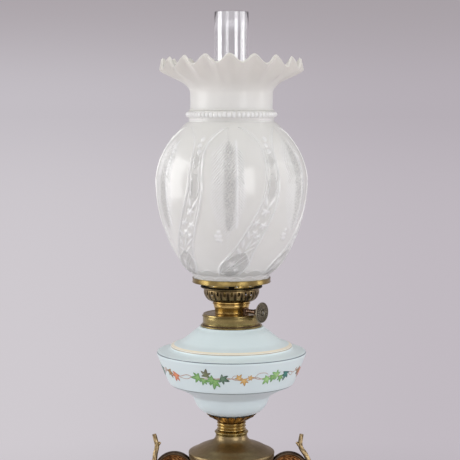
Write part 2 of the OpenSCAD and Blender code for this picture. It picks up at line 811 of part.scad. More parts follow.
// Burner
// The way that the rack and its lug take through the cap and the bowl's floor
module rack_way(z, h) {
    side = 0.9;
    rotate([0, 0, knob_turn]) translate([tube_r - side, rack_y - side, z])
        cube([rack_in + rack_w + 2 * side - tube_r, rack_t + 2 * side - 0.5, h]);
}

module burner_cap() {
    sleeve_r = thread_r - thread_play;
    top = z_burner_neck;
    bead_at = top - 3.4;
    color("darkkhaki") difference() {
        turned(concat(
            [[sleeve_r - sheet, z_washer - thread_h], [sleeve_r, z_washer - thread_h], [sleeve_r, z_cap],
                [cap_r + 0.2, z_cap], [cap_r + 0.2, z_cap + sheet], [cap_r, z_cap + sheet + 0.3]],
            bulge(cap_r, cap_bead, bead_at, bead_at + 1.6, 5),
            arc([cap_r - 1.2, top - 1.2], 1.2, 0, 90, 5),
            [[tube_r, top], [tube_r, top - sheet], [cap_r - 1.2, top - sheet], [cap_r - sheet, top - 1.4],
                [cap_r - sheet, z_cap + sheet], [sleeve_r - sheet, z_cap + sheet]]));
        rack_way(top - sheet - 1, sheet + 2);
    }
}

module port_block(x0, grow) {
    rotate([0, 0, knob_turn]) translate([-x0, -port_w / 2 - grow, z_port - grow])
        cube([x0 - inner_tube_r + tube_t, port_w + 2 * grow, port_h + 2 * grow]);
}

z_port = z_burner_neck + 3;
module burner_neck() {
    wall = burner_neck_r - sheet;
    ring_z = z_bowl - 2.4;
    z_swell = z_burner_neck + 2.5;
    color("gold") difference() {
        turned(concat(
            [[wall, z_burner_neck], [burner_neck_r, z_burner_neck], [burner_neck_r, z_swell]],
            [for (i = [1:4])
                [blend(burner_neck_r, neck_ring_r - 1, i / 4), z_swell + (ring_z - 1 - z_swell) * i / 4]],
            bulge(neck_ring_r - 1, 1, ring_z - 1, ring_z + 1, 5),
            [[neck_ring_r - 0.8, z_bowl], [wall, z_bowl]]));
        port_block(neck_ring_r + 2, tube_t);
        rotate([0, 0, knob_turn]) translate([tube_r, 0, z_spindle]) rotate([0, 90, 0])
            cylinder(r = housing_r, h = 12);
    }
}

module wick_tube_outer() {
    color("goldenrod") difference() {
        translate([0, 0, tube_low]) cylinder(r = tube_r, h = tube_top - tube_low);
        translate([0, 0, tube_low - 1]) cylinder(r = tube_bore_r, h = tube_top - tube_low + 2);
        port_block(tube_r + 1, tube_t);
        rotate([0, 0, knob_turn]) translate([tube_r - 2.6, rack_y + 0.2, lug_z - 0.6])
            cube([4, rack_t - 0.2, wick_lift + lug_h + 1.2]);
    }
}

module wick_tube_inner() {
    color("goldenrod") difference() {
        translate([0, 0, tube_low]) cylinder(r = inner_tube_r, h = tube_top - tube_low);
        translate([0, 0, tube_low + tube_t]) cylinder(r = inner_tube_r - tube_t, h = tube_top - tube_low);
        port_block(tube_r + 1, tube_t);
    }
}

// The air port leads from the back of the burner through a gap in the wick to the inner tube
module air_port() {
    color("goldenrod") difference() {
        intersection() {
            port_block(neck_ring_r + 2, tube_t);
            translate([0, 0, z_port - 2]) cylinder(r = burner_neck_r + 0.3, h = port_h + 4);
        }
        port_block(neck_ring_r + 3, 0);
        translate([0, 0, z_port - 2]) cylinder(r = inner_tube_r - tube_t, h = port_h + 4);
    }
}

bowl_lip_h = 3.4;
bowl_outer = concat(
    [[neck_ring_r, z_bowl]],
    [for (i = [1:8]) let (a = 90 * i / 8)
        [neck_ring_r + (bowl_r - neck_ring_r) * pow(sin(a), 0.9),
            z_bowl + (bowl_h - bowl_lip_h) * (1 - cos(a))]],
    [[bowl_r, z_lip - 2.2], [bowl_r + 1.4, z_lip - 1.2], [lip_r - 0.5, z_lip - sheet]]);

module pierced_bowl() {
    inner = inward(bowl_outer, sheet);
    color("darkolivegreen") difference() {
        turned(concat(
            [[tube_r, z_bowl]],
            bowl_outer,
            [[lip_r, z_lip - sheet / 2], [lip_r - 0.2, z_lip], [seat_bore_r + 4, z_lip],
                [seat_bore_r + 4, z_lip - sheet]],
            [for (i = [len(inner) - 4:-1:2]) inner[i]],
            [[neck_ring_r - 0.5, z_bowl + sheet], [tube_r, z_bowl + sheet]]));
        for (i = [0:slot_n - 1]) rotate([0, 0, 360 * i / slot_n]) {
            translate([bowl_r - 5, -slot_w / 2, z_lip - bowl_lip_h - slot_h]) cube([8, slot_w, slot_h]);
            rotate([0, 0, 180 / slot_n]) translate([neck_ring_r + 1, 0, z_bowl + 3.4]) rotate([0, 90, 0])
                cylinder(r = slot_w / 2, h = 9);
        }
        rack_way(z_bowl - 1, sheet + 2);
    }
}

seat_r = chimney_foot_r + prong_gap + 1.6;
module chimney_seat() {
    color("goldenrod") translate([0, 0, z_lip]) difference() {
        cylinder(r = seat_r, h = sheet);
        translate([0, 0, -1]) cylinder(r = seat_bore_r, h = sheet + 2);
    }
}

module chimney_prongs() {
    r = chimney_foot_r + prong_gap;
    wide = 26;
    color("goldenrod") translate([0, 0, z_seat]) union() {
        difference() {
            cylinder(r = seat_r, h = 0.8);
            translate([0, 0, -1]) cylinder(r = r + 0.2, h = 3);
        }
        for (i = [0:prong_n - 1]) rotate([0, 0, 360 * i / prong_n - wide / 2])
            rotate_extrude(angle = wide) translate([r, 0]) square([0.7, prong_h]);
    }
}

// Wick raiser, laid out along +X and turned to the knob's direction
tooth_low = 0.65;
tooth_root = 0.36;
tooth_tip = 0.16;
rack_in = tube_r + 0.5;
rack_w = pinion_t + 0.2;
rack_y = pinion_r - 0.45;
rack_t = 2.2;
rack_low = z_spindle - wick_lift - 4;
rack_h = wick_lift + 8;
lug_h = 3;
lug_z = rack_low;
housing_in = rack_in + pinion_t + 0.3;
housing_out = knob_out - knob_t - 7;

module spindle_tube(r, x0, x1) {
    rotate([0, 0, knob_turn]) translate([x0, 0, z_spindle]) rotate([0, 90, 0])
        cylinder(r = r, h = x1 - x0);
}

module spindle_housing() {
    plate = 1.6;
    color("sienna") difference() {
        union() {
            spindle_tube(housing_r, housing_in, housing_out);
            spindle_tube(housing_r + 0.6, housing_out - 1.4, housing_out);
            difference() {
                rotate([0, 0, knob_turn]) translate([burner_neck_r - 4, -3.4, z_burner_neck])
                    cube([plate + 6, 6.8, spindle_h + housing_r + 1]);
                cylinder(r = burner_neck_r + 0.02, h = z_burner_neck + 2.5);
                translate([0, 0, z_burner_neck + 2.5]) cylinder(r = burner_neck_r + 1.1, h = 20);
                rotate([0, 0, knob_turn]) translate([burner_neck_r + plate + 1.1, -5, 0])
                    cube([10, 10, z_bowl]);
            }
        }
        spindle_tube(spindle_r + spindle_play, housing_in - 1, housing_out + 1);
    }
}

module raiser_spindle() {
    color("gray") spindle_tube(spindle_r, rack_in + 0.1, knob_out + 0.6);
}

module pinion_shape() {
    root = pinion_r - tooth_low;
    tip = pinion_r + 0.42;
    union() {
        circle(r = root);
        // One tooth points at the rack, and the rack's teeth stand half a tooth to either side of it
        for (i = [0:pinion_n - 1]) rotate(90 + 360 * i / pinion_n)
            polygon([[0, -tooth_root], [root, -tooth_root], [tip, -tooth_tip], [tip, tooth_tip],
                [root, tooth_root], [0, tooth_root]]);
    }
}

module raiser_pinion() {
    color("goldenrod") rotate([0, 0, knob_turn]) translate([rack_in + 0.1, 0, z_spindle]) rotate([0, 90, 0])
        difference() {
            linear_extrude(height = pinion_t) pinion_shape();
            translate([0, 0, -1]) cylinder(r = spindle_r, h = pinion_t + 2);
        }
}

module raiser_knob() {
    groove = 0.7;
    round = 0.8;
    hub_h = 3;
    color("dimgray") rotate([0, 0, knob_turn]) translate([knob_out, 0, z_spindle]) rotate([0, 90, 0])
        difference() {
            turned(concat([[spindle_r, -knob_t - hub_h], [spindle_r + 1.6, -knob_t - hub_h],
                [spindle_r + 2.4, -knob_t], [knob_r - round, -knob_t]],
                arc([knob_r - round, -knob_t + round], round, -90, 0, 3),
                arc([knob_r - round, -round], round, 0, 90, 3), [[spindle_r, 0]]));
            for (i = [0:knob_rays - 1]) rotate([0, 0, 360 * i / knob_rays])
                translate([knob_r * 0.36, -0.35, -groove]) cube([knob_r, 0.7, 2]);
        }
}

module knob_rivet() {
    color("gray") rotate([0, 0, knob_turn]) translate([knob_out, 0, z_spindle])
        rotate([0, 90, 0]) difference() {
            turned([[0, 0], [2.6, 0], [2.4, 0.5], [1.4, 1.1], [0, 1.3]]);
            translate([0, 0, -1]) cylinder(r = spindle_r, h = 1.6);
        }
}

// Wick: round at the top, open behind for the air port, with tails that hang in the oil
wick_top = tube_top + wick_show;
tail_low = tube_low - tail_h;
module wick() {
    port_gap = 1;
    side = port_w / 2 + tube_t + port_gap;
    color("ivory") union() {
        difference() {
            translate([0, 0, tube_low]) cylinder(r = wick_out_r, h = wick_top - tube_low);
            translate([0, 0, tube_low - 1]) cylinder(r = wick_r, h = wick_top - tube_low + 2);
            rotate([0, 0, knob_turn]) translate([-wick_out_r - 2, -side, tube_low - 1])
                cube([wick_out_r, 2 * side, z_port + port_h + tube_t + port_gap - tube_low + 1]);
        }
        for (a = [45, -95]) rotate([0, 0, knob_turn + a]) translate([0, 0, tail_low])
            rotate_extrude(angle = 50) translate([wick_r + 0.1, 0]) square([wick_t - 0.2, tail_h + 2]);
    }
}

module wick_carrier() {
    tooth = 3.14159 * 2 * pinion_r / pinion_n;
    start = z_spindle - tooth / 2 - tooth * floor((z_spindle - tooth / 2 - rack_low - 0.5) / tooth);
    last = floor((rack_low + rack_h - 0.5 - start) / tooth);
    rack_tooth_h = 1.08;
    back_y = pinion_r + tooth_low;
    sleeve = 9;
    color("goldenrod") rotate([0, 0, knob_turn]) union() {
        translate([0, 0, lug_z]) rotate([0, 0, -130]) rotate_extrude(angle = 260)
            translate([wick_out_r, 0]) square([carrier_t, sleeve]);
        difference() {
            translate([wick_out_r - 1.5, rack_y + 0.5, lug_z]) cube([4, rack_t - 0.8, lug_h]);
            translate([0, 0, lug_z - 1]) cylinder(r = wick_out_r + 0.1, h = lug_h + 2);
        }
        translate([rack_in, back_y, rack_low]) cube([rack_w, rack_y + rack_t - back_y, rack_h]);
        for (i = [0:last]) translate([rack_in, back_y, start + tooth * i]) rotate([0, 90, 0])
            linear_extrude(height = rack_w)
                polygon([[-tooth_root, 0.1], [-tooth_tip, -rack_tooth_h], [tooth_tip, -rack_tooth_h],
                    [tooth_root, 0.1]]);
    }
}

// Shade ring
module shade_ring() {
    ring_in = shade_ring_r - shade_ring_t;
    color("goldenrod") turned([
        [ring_in - ledge_w, z_ring], [shade_ring_r, z_ring], [shade_ring_r, z_ring + shade_ring_h],
        [ring_in, z_ring + shade_ring_h], [ring_in, z_shade], [ring_in - ledge_w, z_shade]]);
}

module shade_ring_arms() {
    collar_in = seat_r + 0.3;
    collar_out = lip_r - 0.2;
    arm_out = shade_ring_r - 1.5;
    color("goldenrod") union() {
        translate([0, 0, z_lip]) difference() {
            cylinder(r = collar_out, h = 1);
            translate([0, 0, -1]) cylinder(r = collar_in, h = 3);
        }
        for (i = [0:arm_n - 1]) rotate([0, 0, 30 + 360 * i / arm_n])
            translate([0, arm_w / 2, 0]) rotate([90, 0, 0]) linear_extrude(height = arm_w)
                polygon([[collar_out - 1.5, z_lip], [collar_out + 1, z_lip], [arm_out, z_ring - 0.8],
                    [arm_out, z_ring], [arm_out - 3, z_ring], [collar_out - 0.5, z_lip + 1],
                    [collar_out - 1.5, z_lip + 1]]);
    }
}

// Chimney: a wide foot, a sharp throat and a long tube
module chimney() {
    step_h = 10;
    open_h = 26;
    z_throat = z_seat + chimney_foot_h;
    outer = concat(
        [[chimney_foot_r, z_seat], [chimney_foot_r, z_throat - step_h]],
        [for (i = [1:8]) [blend(chimney_foot_r, throat_r, i / 8), z_throat - step_h + step_h * i / 8]],
        [for (i = [1:6]) [blend(throat_r, chimney_r, i / 6), z_throat + open_h * i / 6]],
        [[chimney_r, z_seat + chimney_h]]);
    color("lightblue", 0.4) turned_shell(outer, chimney_wall);
}

// Shade outline: each station is [radius, height, share of the lobes, share of the crimps]
z_body = z_shade + shade_foot_h + 5;
z_belly = z_body + shade_low_h;
z_up = z_belly + shade_up_h;
z_neck_low = z_up + shade_bead_h;
z_flare = z_neck_low + shade_neck_h;
z_rim = z_flare + shade_flare_h;
body_r = shade_fit_r + 2.8;
shade_low = [for (i = [1:7]) let (t = i / 7)
    [body_r + (shade_r - body_r) * pow(sin(90 * t), 0.7), z_body + shade_low_h * t, sin(90 * t), 0]];
shade_up = [for (i = [1:6]) let (t = i / 6)
    [shade_neck_r + (shade_r - shade_neck_r) * pow(cos(90 * t), 0.8), z_belly + shade_up_h * t,
        cos(90 * t), 0]];
shade_flare = [for (i = [1:4]) let (t = i / 4)
    [shade_neck_r + (shade_rim_r - 1 - shade_neck_r) * pow(t, 2.5), z_flare + shade_flare_h * t,
        0, pow(t, 3) * 0.45]];
shade_line = concat(
    [[shade_fit_r, z_shade, 0, 0], [shade_fit_r, z_shade + shade_foot_h, 0, 0], [body_r, z_body, 0, 0]],
    shade_low,
    shade_up,
    [[shade_bead_r, z_up + shade_bead_h * 0.35, 0, 0], [shade_bead_r, z_up + shade_bead_h * 0.75, 0, 0],
        [shade_neck_r, z_neck_low, 0, 0], [shade_neck_r, z_flare, 0, 0]],
    shade_flare,
    [[shade_rim_r, z_rim + rim_up, 0, 1]]);

function flat_line(p) = [for (q = p) [q[0], q[1]]];
function shade_turn(z) = 2 - lobe_swirl * pow(max(0, min(1, (z_belly - z) / shade_low_h)), 1.2);
function lobe(z, a) = (1 + cos(lobe_n * (a - shade_turn(z)))) / 2;
function crimp(a) = cos(crimp_n * (a + 1.5));
function shade_point(q, s, a) =
    let (r = q[0] + lobe_out * s[2] * lobe(q[1], a) - 0.8 * s[3] * crimp(a))
    [r * sin(a), -r * cos(a), q[1] + crimp_h * s[3] * crimp(a)];

module shade() {
    n = 90;
    m = len(shade_line);
    outside = flat_line(shade_line);
    inside = inward(outside, shade_wall);
    points = concat(
        [for (j = [0:m - 1], i = [0:n - 1]) shade_point(outside[j], shade_line[j], 360 * i / n)],
        [for (j = [m - 1:-1:0], i = [0:n - 1])
            shade_point([inside[j][0], j == 0 ? z_shade : inside[j][1]], shade_line[j], 360 * i / n)]);
    rows = 2 * m;
    faces = [for (j = [0:rows - 1], i = [0:n - 1]) let (k = (i + 1) % n, u = (j + 1) % rows) each
        [[j * n + i, u * n + i, j * n + k], [j * n + k, u * n + i, u * n + k]]];
    color("whitesmoke", 0.8) polyhedron(points, faces);
}

feet();
foot_screws();
plinth_lower();
plinth_upper();
ballast();
bell_foot();
stem_knop();
urn_bowl();
urn_band();
urn_shoulder();
tie_rod();
tie_nuts();
branch_left();
branch_right();
roundel_rim_left();
roundel_rim_right();
roundel_face_left();
roundel_face_right();
roundel_screws();
branch_screws();
branch_rivets();
neck_flange();
ringed_neck();
crown_cup();
crown_plaster();
font_glass();
font_plaster();
font_collar();
collar_washer();
burner_cap();
burner_neck();
wick_tube_outer();
wick_tube_inner();
air_port();
pierced_bowl();
chimney_seat();
chimney_prongs();
spindle_housing();
raiser_spindle();
raiser_pinion();
raiser_knob();
knob_rivet();
wick();
wick_carrier();
shade_ring();
shade_ring_arms();
chimney();
shade();
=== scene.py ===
# %% [markdown]
# # A table kerosene lamp
# The lamp is packed as separate solids with joints. This lesson dresses them: each visible piece gets the
# outline, the relief and the finish of the real one, and rides on the solid body that it belongs to.

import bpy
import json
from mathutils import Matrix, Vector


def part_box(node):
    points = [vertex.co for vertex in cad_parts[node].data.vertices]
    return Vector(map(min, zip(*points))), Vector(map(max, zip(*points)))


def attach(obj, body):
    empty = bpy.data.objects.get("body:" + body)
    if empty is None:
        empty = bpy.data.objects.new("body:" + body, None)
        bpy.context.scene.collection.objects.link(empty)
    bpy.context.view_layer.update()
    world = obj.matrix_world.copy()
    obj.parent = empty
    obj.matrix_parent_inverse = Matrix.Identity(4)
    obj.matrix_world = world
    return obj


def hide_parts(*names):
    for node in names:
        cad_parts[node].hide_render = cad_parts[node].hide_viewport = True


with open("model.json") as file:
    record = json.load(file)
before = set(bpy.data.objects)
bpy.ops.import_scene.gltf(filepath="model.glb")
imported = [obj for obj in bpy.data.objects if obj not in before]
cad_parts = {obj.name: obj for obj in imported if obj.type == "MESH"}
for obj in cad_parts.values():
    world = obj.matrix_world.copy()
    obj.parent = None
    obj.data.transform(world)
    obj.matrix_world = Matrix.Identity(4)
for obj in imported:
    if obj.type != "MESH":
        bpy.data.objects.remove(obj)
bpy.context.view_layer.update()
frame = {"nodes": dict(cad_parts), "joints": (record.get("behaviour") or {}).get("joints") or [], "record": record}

# %% [markdown]
# ## Units and measures
# Outlines are written in millimetres, the maker's unit, and turned into metres once, when a mesh is made.
# Heights and radii come from the boxes of the solids, so a piece always lands on the solid that it dresses.

# %% Measures of a solid
import json
import math

import bpy
import numpy as np
from mathutils import Vector

MM = 0.001
bpy.context.scene.view_settings.view_transform = "Standard"


def foot(node):
    """Lowest height of a solid, in mm."""
    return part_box(node)[0].z / MM


def top(node):
    """Greatest height of a solid, in mm."""
    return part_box(node)[1].z / MM


def reach(node):
    """Greatest distance of a solid along X, in mm."""
    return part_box(node)[1].x / MM


print("font from", round(foot("font_glass"), 1), "to", round(top("font_glass"), 1), "mm")

# %% [markdown]
# ## A class for shader sums
# Shader maths is easier to read as a sum than as a row of nodes. A Wire holds one socket, and the operators
# add the Math nodes. The reflected forms let a plain number stand first, as in 1 - mask.

# %% The Wire class
class Wire:
    """One shader socket that can stand in a Python expression."""

    def __init__(self, finish, socket):
        self.finish = finish
        self.socket = socket

    def sum(self, operation, *values):
        return self.finish.node("ShaderNodeMath", {"operation": operation}, dict(enumerate(values)))

    def __add__(self, other):
        return self.sum("ADD", self, other)

    def __sub__(self, other):
        return self.sum("SUBTRACT", self, other)

    def __rsub__(self, other):
        return self.sum("SUBTRACT", other, self)

    def __mul__(self, other):
        return self.sum("MULTIPLY", self, other)

    def __truediv__(self, other):
        return self.sum("DIVIDE", self, other)

    def __pow__(self, other):
        return self.sum("POWER", self, other)

    def __abs__(self):
        return self.sum("ABSOLUTE", self)

    def sine(self):
        return self.sum("SINE", self)

    def over(self, limit, soft):
        """0 below the limit and 1 above it, with a soft edge of that width."""
        return self.finish.node("ShaderNodeMapRange", {"interpolation_type": "SMOOTHSTEP", "clamp": True},
                                {"Value": self, "From Min": limit - soft / 2, "From Max": limit + soft / 2})

    __radd__ = __add__
    __rmul__ = __mul__


# %% [markdown]
# ## A class for finishes
# A finish is a material with its nodes. Colours are read off the object as the eye sees them, so they are
# given in the usual 0 to 255 form and turned into light values once.

# %% The Finish class
def light(*rgb):
    """A seen colour, 0 to 255, as the linear colour that shaders use."""
    linear = [v / 255 / 12.92 if v < 10.3 else ((v / 255 + 0.055) / 1.055) ** 2.4 for v in rgb]
    return (*linear, 1.0)


class Finish:
    """A material whose nodes are made from Python."""

    def __init__(self, name, **constant):
        self.material = bpy.data.materials.new(name)
        self.material.use_nodes = True
        self.tree = self.material.node_tree
        self.shader = next(n for n in self.tree.nodes if n.type == "BSDF_PRINCIPLED")
        for socket, value in constant.items():
            self.shader.inputs[socket.replace("_", " ")].default_value = value

    def node(self, kind, settings=None, sockets=None, out=0):
        """Adds a node, sets and links it, and gives one output, by its number, name or identifier."""
        made = self.tree.nodes.new(kind)
        for key, value in (settings or {}).items():
            setattr(made, key, value)
        for key, value in (sockets or {}).items():
            by_id = [s for s in made.inputs if s.identifier == key]
            socket = by_id[0] if by_id else made.inputs[key]
            if isinstance(value, Wire):
                self.tree.links.new(value.socket, socket)
            else:
                socket.default_value = value
        outputs = [s for s in made.outputs if s.identifier == out]
        return Wire(self, outputs[0] if outputs else made.outputs[out])

    def place(self):
        """Position on the lamp, in metres, which stays with the piece when it moves."""
        return self.node("ShaderNodeTexCoord", out="Object")

    def axis(self, index):
        return self.node("ShaderNodeSeparateXYZ", None, {0: self.place()}, out=index)

    def height(self):
        """Height over the floor, in mm."""
        return self.axis(2) * 1000

    def marked(self, name):
        """A value that the mesh carries at each point."""
        return self.node("ShaderNodeAttribute", {"attribute_name": name}, out="Fac")

    def noise(self, scale, detail=3.0, stretch=(1, 1, 1), rough=0.5):
        spot = self.node("ShaderNodeMapping", None, {"Vector": self.place(), "Scale": stretch})
        return self.node("ShaderNodeTexNoise", None,
                         {"Vector": spot, "Scale": scale, "Detail": detail, "Roughness": rough})

    def blend(self, a, b, share):
        return self.node("ShaderNodeMix", {"data_type": "RGBA"},
                         {"Factor_Float": share, "A_Color": a, "B_Color": b}, out="Result_Color")

    def set(self, **linked):
        for socket, wire in linked.items():
            self.tree.links.new(wire.socket, self.shader.inputs[socket.replace("_", " ")])
        return self

    def bump(self, height, depth_mm, strength):
        normal = self.node("ShaderNodeBump", None,
                           {"Strength": strength, "Distance": depth_mm * MM, "Height": height})
        return self.set(Normal=normal)

    def cover(self, share, other):
        """Mixes another shader over the first one, by a share from 0 to 1."""
        first = Wire(self, self.shader.outputs[0])
        mixed = self.node("ShaderNodeMixShader", None, {0: share, 1: first, 2: other})
        output = next(n for n in self.tree.nodes if n.type == "OUTPUT_MATERIAL")
        self.tree.links.new(mixed.socket, output.inputs["Surface"])


print("finishes are made with", Finish.__name__, "and", Wire.__name__)

# %% [markdown]
# ## Camera
# The photograph was taken from a little above the shade, with a long lens, and its lower edge cuts the lamp
# at the shoulder of the base. The camera stands where the widths and the ellipses of the rims put it.

# %% Camera
FOCAL_PX = 1450
IMAGE_PX = 460
HORIZON_Y = 105
AXIS_X = 231.5
DISTANCE = 1.522
EYE_HEIGHT = 0.575
SENSOR_MM = 36

camera = bpy.data.objects.new("camera", bpy.data.cameras.new("camera"))
bpy.context.scene.collection.objects.link(camera)
camera.data.sensor_width = SENSOR_MM
camera.data.lens = SENSOR_MM * FOCAL_PX / IMAGE_PX
camera.location = (-(AXIS_X - IMAGE_PX / 2) / FOCAL_PX * DISTANCE, -DISTANCE, EYE_HEIGHT)
pitch = math.atan((IMAGE_PX / 2 - HORIZON_Y) / FOCAL_PX)
camera.rotation_euler = (math.pi / 2 - pitch, 0, 0)
camera.data.clip_end = 100
bpy.context.scene.camera = camera
print("lens", round(camera.data.lens, 1), "mm, looking down", round(math.degrees(pitch), 2), "degrees")

# %% [markdown]
# ## Floor and light
# The lamp stood in front of a plain grey-mauve sweep. The floor here is one wide disc that takes the lamp's
# shadow near it and fades into the colour of the world further out, so no horizon shows from any side.
# Two tall soft lights stand left and right of the camera: they draw the upright streaks on brass and glass.

# %% Backdrop colours
# Painted light: the backdrop glows lighter on the left and on the floor near the lamp, and darker higher up, as a
# room lit from the left would look.
NEAR_LEFT, NEAR_RIGHT = light(208, 203, 208), light(194, 187, 194)
FAR_LEFT, FAR_RIGHT = light(195, 190, 196), light(182, 175, 182)
HIGH_LEFT, HIGH_RIGHT = light(172, 165, 170), light(168, 161, 166)
VIEW_HALF_SLOPE = 0.16


def side_tone(finish, left, right, slope):
    """The backdrop's tone between its two edges, from how far to the side the line of sight slopes."""
    return finish.blend(left, right, slope.over(0.0, 2 * VIEW_HALF_SLOPE))


def backdrop_share(finish):
    """1 where a camera, mirror or glass ray meets the backdrop, so that it shows its plain colour."""
    ray = "ShaderNodeLightPath"
    seen = finish.node(ray, out="Is Camera Ray") + finish.node(ray, out="Is Glossy Ray")
    return (seen + finish.node(ray, out="Is Transmission Ray")).over(0.5, 0.2)


# %% Floor
FLOOR_R = 60.0
FLOOR_SIDES = 96
FADE_M = 13.4
SHADOW_R, SHADOW_FADE = 0.75, 0.5
floor_edge = [(FLOOR_R * math.cos(a), FLOOR_R * math.sin(a), 0)
              for a in np.linspace(0, 2 * math.pi, FLOOR_SIDES, endpoint=False)]
floor_mesh = bpy.data.meshes.new("floor")
floor_mesh.from_pydata(floor_edge, [], [list(range(FLOOR_SIDES))])
floor = bpy.data.objects.new("floor", floor_mesh)
bpy.context.scene.collection.objects.link(floor)

paper = Finish("floor_paper", Roughness=0.9)
away = paper.node("ShaderNodeVectorMath", {"operation": "LENGTH"}, {0: paper.place()}, out="Value")
from_camera = away + DISTANCE
floor_slope = paper.axis(0) / from_camera
depth = from_camera ** 2 / (from_camera ** 2 + FADE_M ** 2)
tone = paper.blend(side_tone(paper, NEAR_LEFT, NEAR_RIGHT, floor_slope),
                   side_tone(paper, FAR_LEFT, FAR_RIGHT, floor_slope), depth)
paper.set(Base_Color=tone)
glow = paper.node("ShaderNodeEmission", None, {"Color": tone, "Strength": 1.0})
paper.cover(backdrop_share(paper) * away.over(SHADOW_R, SHADOW_FADE), glow)
floor_mesh.materials.append(paper.material)
print("floor of", FLOOR_R, "m radius")

# %% World
AMBIENT = 0.66
world = bpy.data.worlds.new("studio")
bpy.context.scene.world = world
world.use_nodes = True


class Sky(Finish):
    """The world's nodes, made the same way as a finish."""

    def __init__(self, made_for):
        self.tree = made_for.node_tree


sky = Sky(world)
for old in list(sky.tree.nodes):
    sky.tree.nodes.remove(old)
sight = sky.node("ShaderNodeTexCoord", out="Generated")
sky_slope = sky.node("ShaderNodeSeparateXYZ", None, {0: sight}, out=0)
lifted = sky.node("ShaderNodeSeparateXYZ", None, {0: sight}, out=2).over(0.04, 0.08)
sky_tone = sky.blend(side_tone(sky, FAR_LEFT, FAR_RIGHT, sky_slope),
                     side_tone(sky, HIGH_LEFT, HIGH_RIGHT, sky_slope), lifted)
backdrop = sky.node("ShaderNodeBackground", None, {"Color": sky_tone, "Strength": 1.0})
room_light = sky.node("ShaderNodeBackground", None, {"Color": (1, 1, 1, 1), "Strength": AMBIENT})
both = sky.node("ShaderNodeMixShader", None, {0: backdrop_share(sky), 1: room_light, 2: backdrop})
world_output = sky.tree.nodes.new("ShaderNodeOutputWorld")
sky.tree.links.new(both.socket, world_output.inputs["Surface"])
print("world light", AMBIENT)

# %% Lamps
AIM = Vector((0, 0, 0.4))


def soft_light(name, azimuth, distance, height, wide, tall, radiance):
    """An area light that faces the lamp. Azimuth 0 is the camera's side, and radiance is its brightness."""
    lamp = bpy.data.lights.new(name, "AREA")
    lamp.shape = "RECTANGLE"
    lamp.size = wide
    lamp.size_y = tall
    lamp.energy = radiance * math.pi * wide * tall
    holder = bpy.data.objects.new(name, lamp)
    bpy.context.scene.collection.objects.link(holder)
    a = math.radians(azimuth)
    holder.location = (distance * math.sin(a), -distance * math.cos(a), height)
    holder.rotation_euler = (AIM - holder.location).to_track_quat("-Z", "Y").to_euler()
    return holder


lights = [
    soft_light("light_left", -88, 1.9, 0.75, 1.1, 1.7, 3.2),
    soft_light("light_right", 32, 2.1, 0.8, 0.8, 1.6, 3.0),
    soft_light("light_back", 92, 2.1, 0.8, 0.7, 1.6, 2.2),
    soft_light("light_above", 10, 0.9, 2.4, 1.2, 1.2, 0.6),
    soft_light("light_low", -8, 1.9, 0.32, 2.2, 0.4, 0.9),
]
print("soft lights:", [item.name for item in lights])

# %% [markdown]
# ## Turning and sweeping
# Nearly every piece was spun, turned or blown round one axis, so its mesh is a grid: one direction follows the
# outline and the other goes round. The same grid, with its points pushed in and out, gives pressed relief.

# %% Grids
CREASE = math.radians(38)


def skin(name, points, body, finish, stands_for=(), closed=True, keep=None, marks=None):
    """A mesh from a rows x columns grid of points in mm, whose last column joins the first. closed joins the
    last row to the first as well, keep drops faces, and marks are values at the points for a finish."""
    rows, columns = points.shape[:2]
    index = np.arange(rows * columns).reshape(rows, columns)
    below = index if closed else index[:-1]
    above = np.roll(index, -1, 0) if closed else index[1:]
    quads = np.stack([below, np.roll(below, -1, 1), np.roll(above, -1, 1), above], -1)
    if keep is not None:
        quads = quads[keep]
    mesh = bpy.data.meshes.new(name)
    mesh.from_pydata((points.reshape(-1, 3) * MM).tolist(), [], quads.reshape(-1, 4).tolist())
    for label, values in (marks or {}).items():
        at_points = mesh.attributes.new(label, "FLOAT", "POINT")
        at_points.data.foreach_set("value", values.ravel().astype(np.float32))
    return settle(name, mesh, body, finish, stands_for)


def settle(name, mesh, body, finish, stands_for=()):
    """Makes the object, smooths it up to the crease angle, and lets it ride on its body."""
    mesh.validate()
    mesh.shade_smooth()
    mesh.set_sharp_from_angle(angle=CREASE)
    mesh.materials.append(finish.material)
    piece = bpy.data.objects.new(name, mesh)
    bpy.context.scene.collection.objects.link(piece)
    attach(piece, body)
    if stands_for:
        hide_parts(*stands_for)
    return piece


def thicken(piece, thick):
    """Gives a sheet its thickness in mm, inwards from its outer side."""
    sheet = piece.modifiers.new("sheet", "SOLIDIFY")
    sheet.thickness = thick * MM
    sheet.offset = -1


def turn(line, columns=160):
    """The grid of an outline of (radius, height) points turned round the axis, azimuth 0 at the front."""
    line = np.array(line, float)
    a = np.linspace(0, 2 * math.pi, columns, endpoint=False)
    r, z = line[:, :1], line[:, 1:]
    return np.stack([r * np.sin(a), -r * np.cos(a), np.repeat(z, columns, 1)], -1)


def lathe(name, line, body, finish, stands_for=(), columns=160):
    """A turned piece from its closed outline."""
    return skin(name, turn(line, columns), body, finish, stands_for)


# %% Outlines
def smooth(points, steps=6):
    """A smooth curve through the given points."""
    p = np.array(points, float)
    p = np.vstack([2 * p[0] - p[1], p, 2 * p[-1] - p[-2]])
    made = []
    for i in range(1, len(p) - 2):
        for t in np.linspace(0, 1, steps, endpoint=False):
            a, b, c, d = p[i - 1], p[i], p[i + 1], p[i + 2]
            made.append(0.5 * (2 * b + (c - a) * t + (2 * a - 5 * b + 4 * c - d) * t ** 2
                               + (3 * b - a - 3 * c + d) * t ** 3))
    return [tuple(q) for q in made] + [tuple(p[-2])]


def bead(r, out, z0, z1, steps=10):
    """A half-round moulding that stands out from radius r between two heights."""
    return [(r + out * math.sin(math.pi * t), z0 + (z1 - z0) * t) for t in np.linspace(0, 1, steps)]


def raised(base, *points):
    """Outline points whose heights are counted from a base height."""
    return [(r, base + z) for r, z in points]


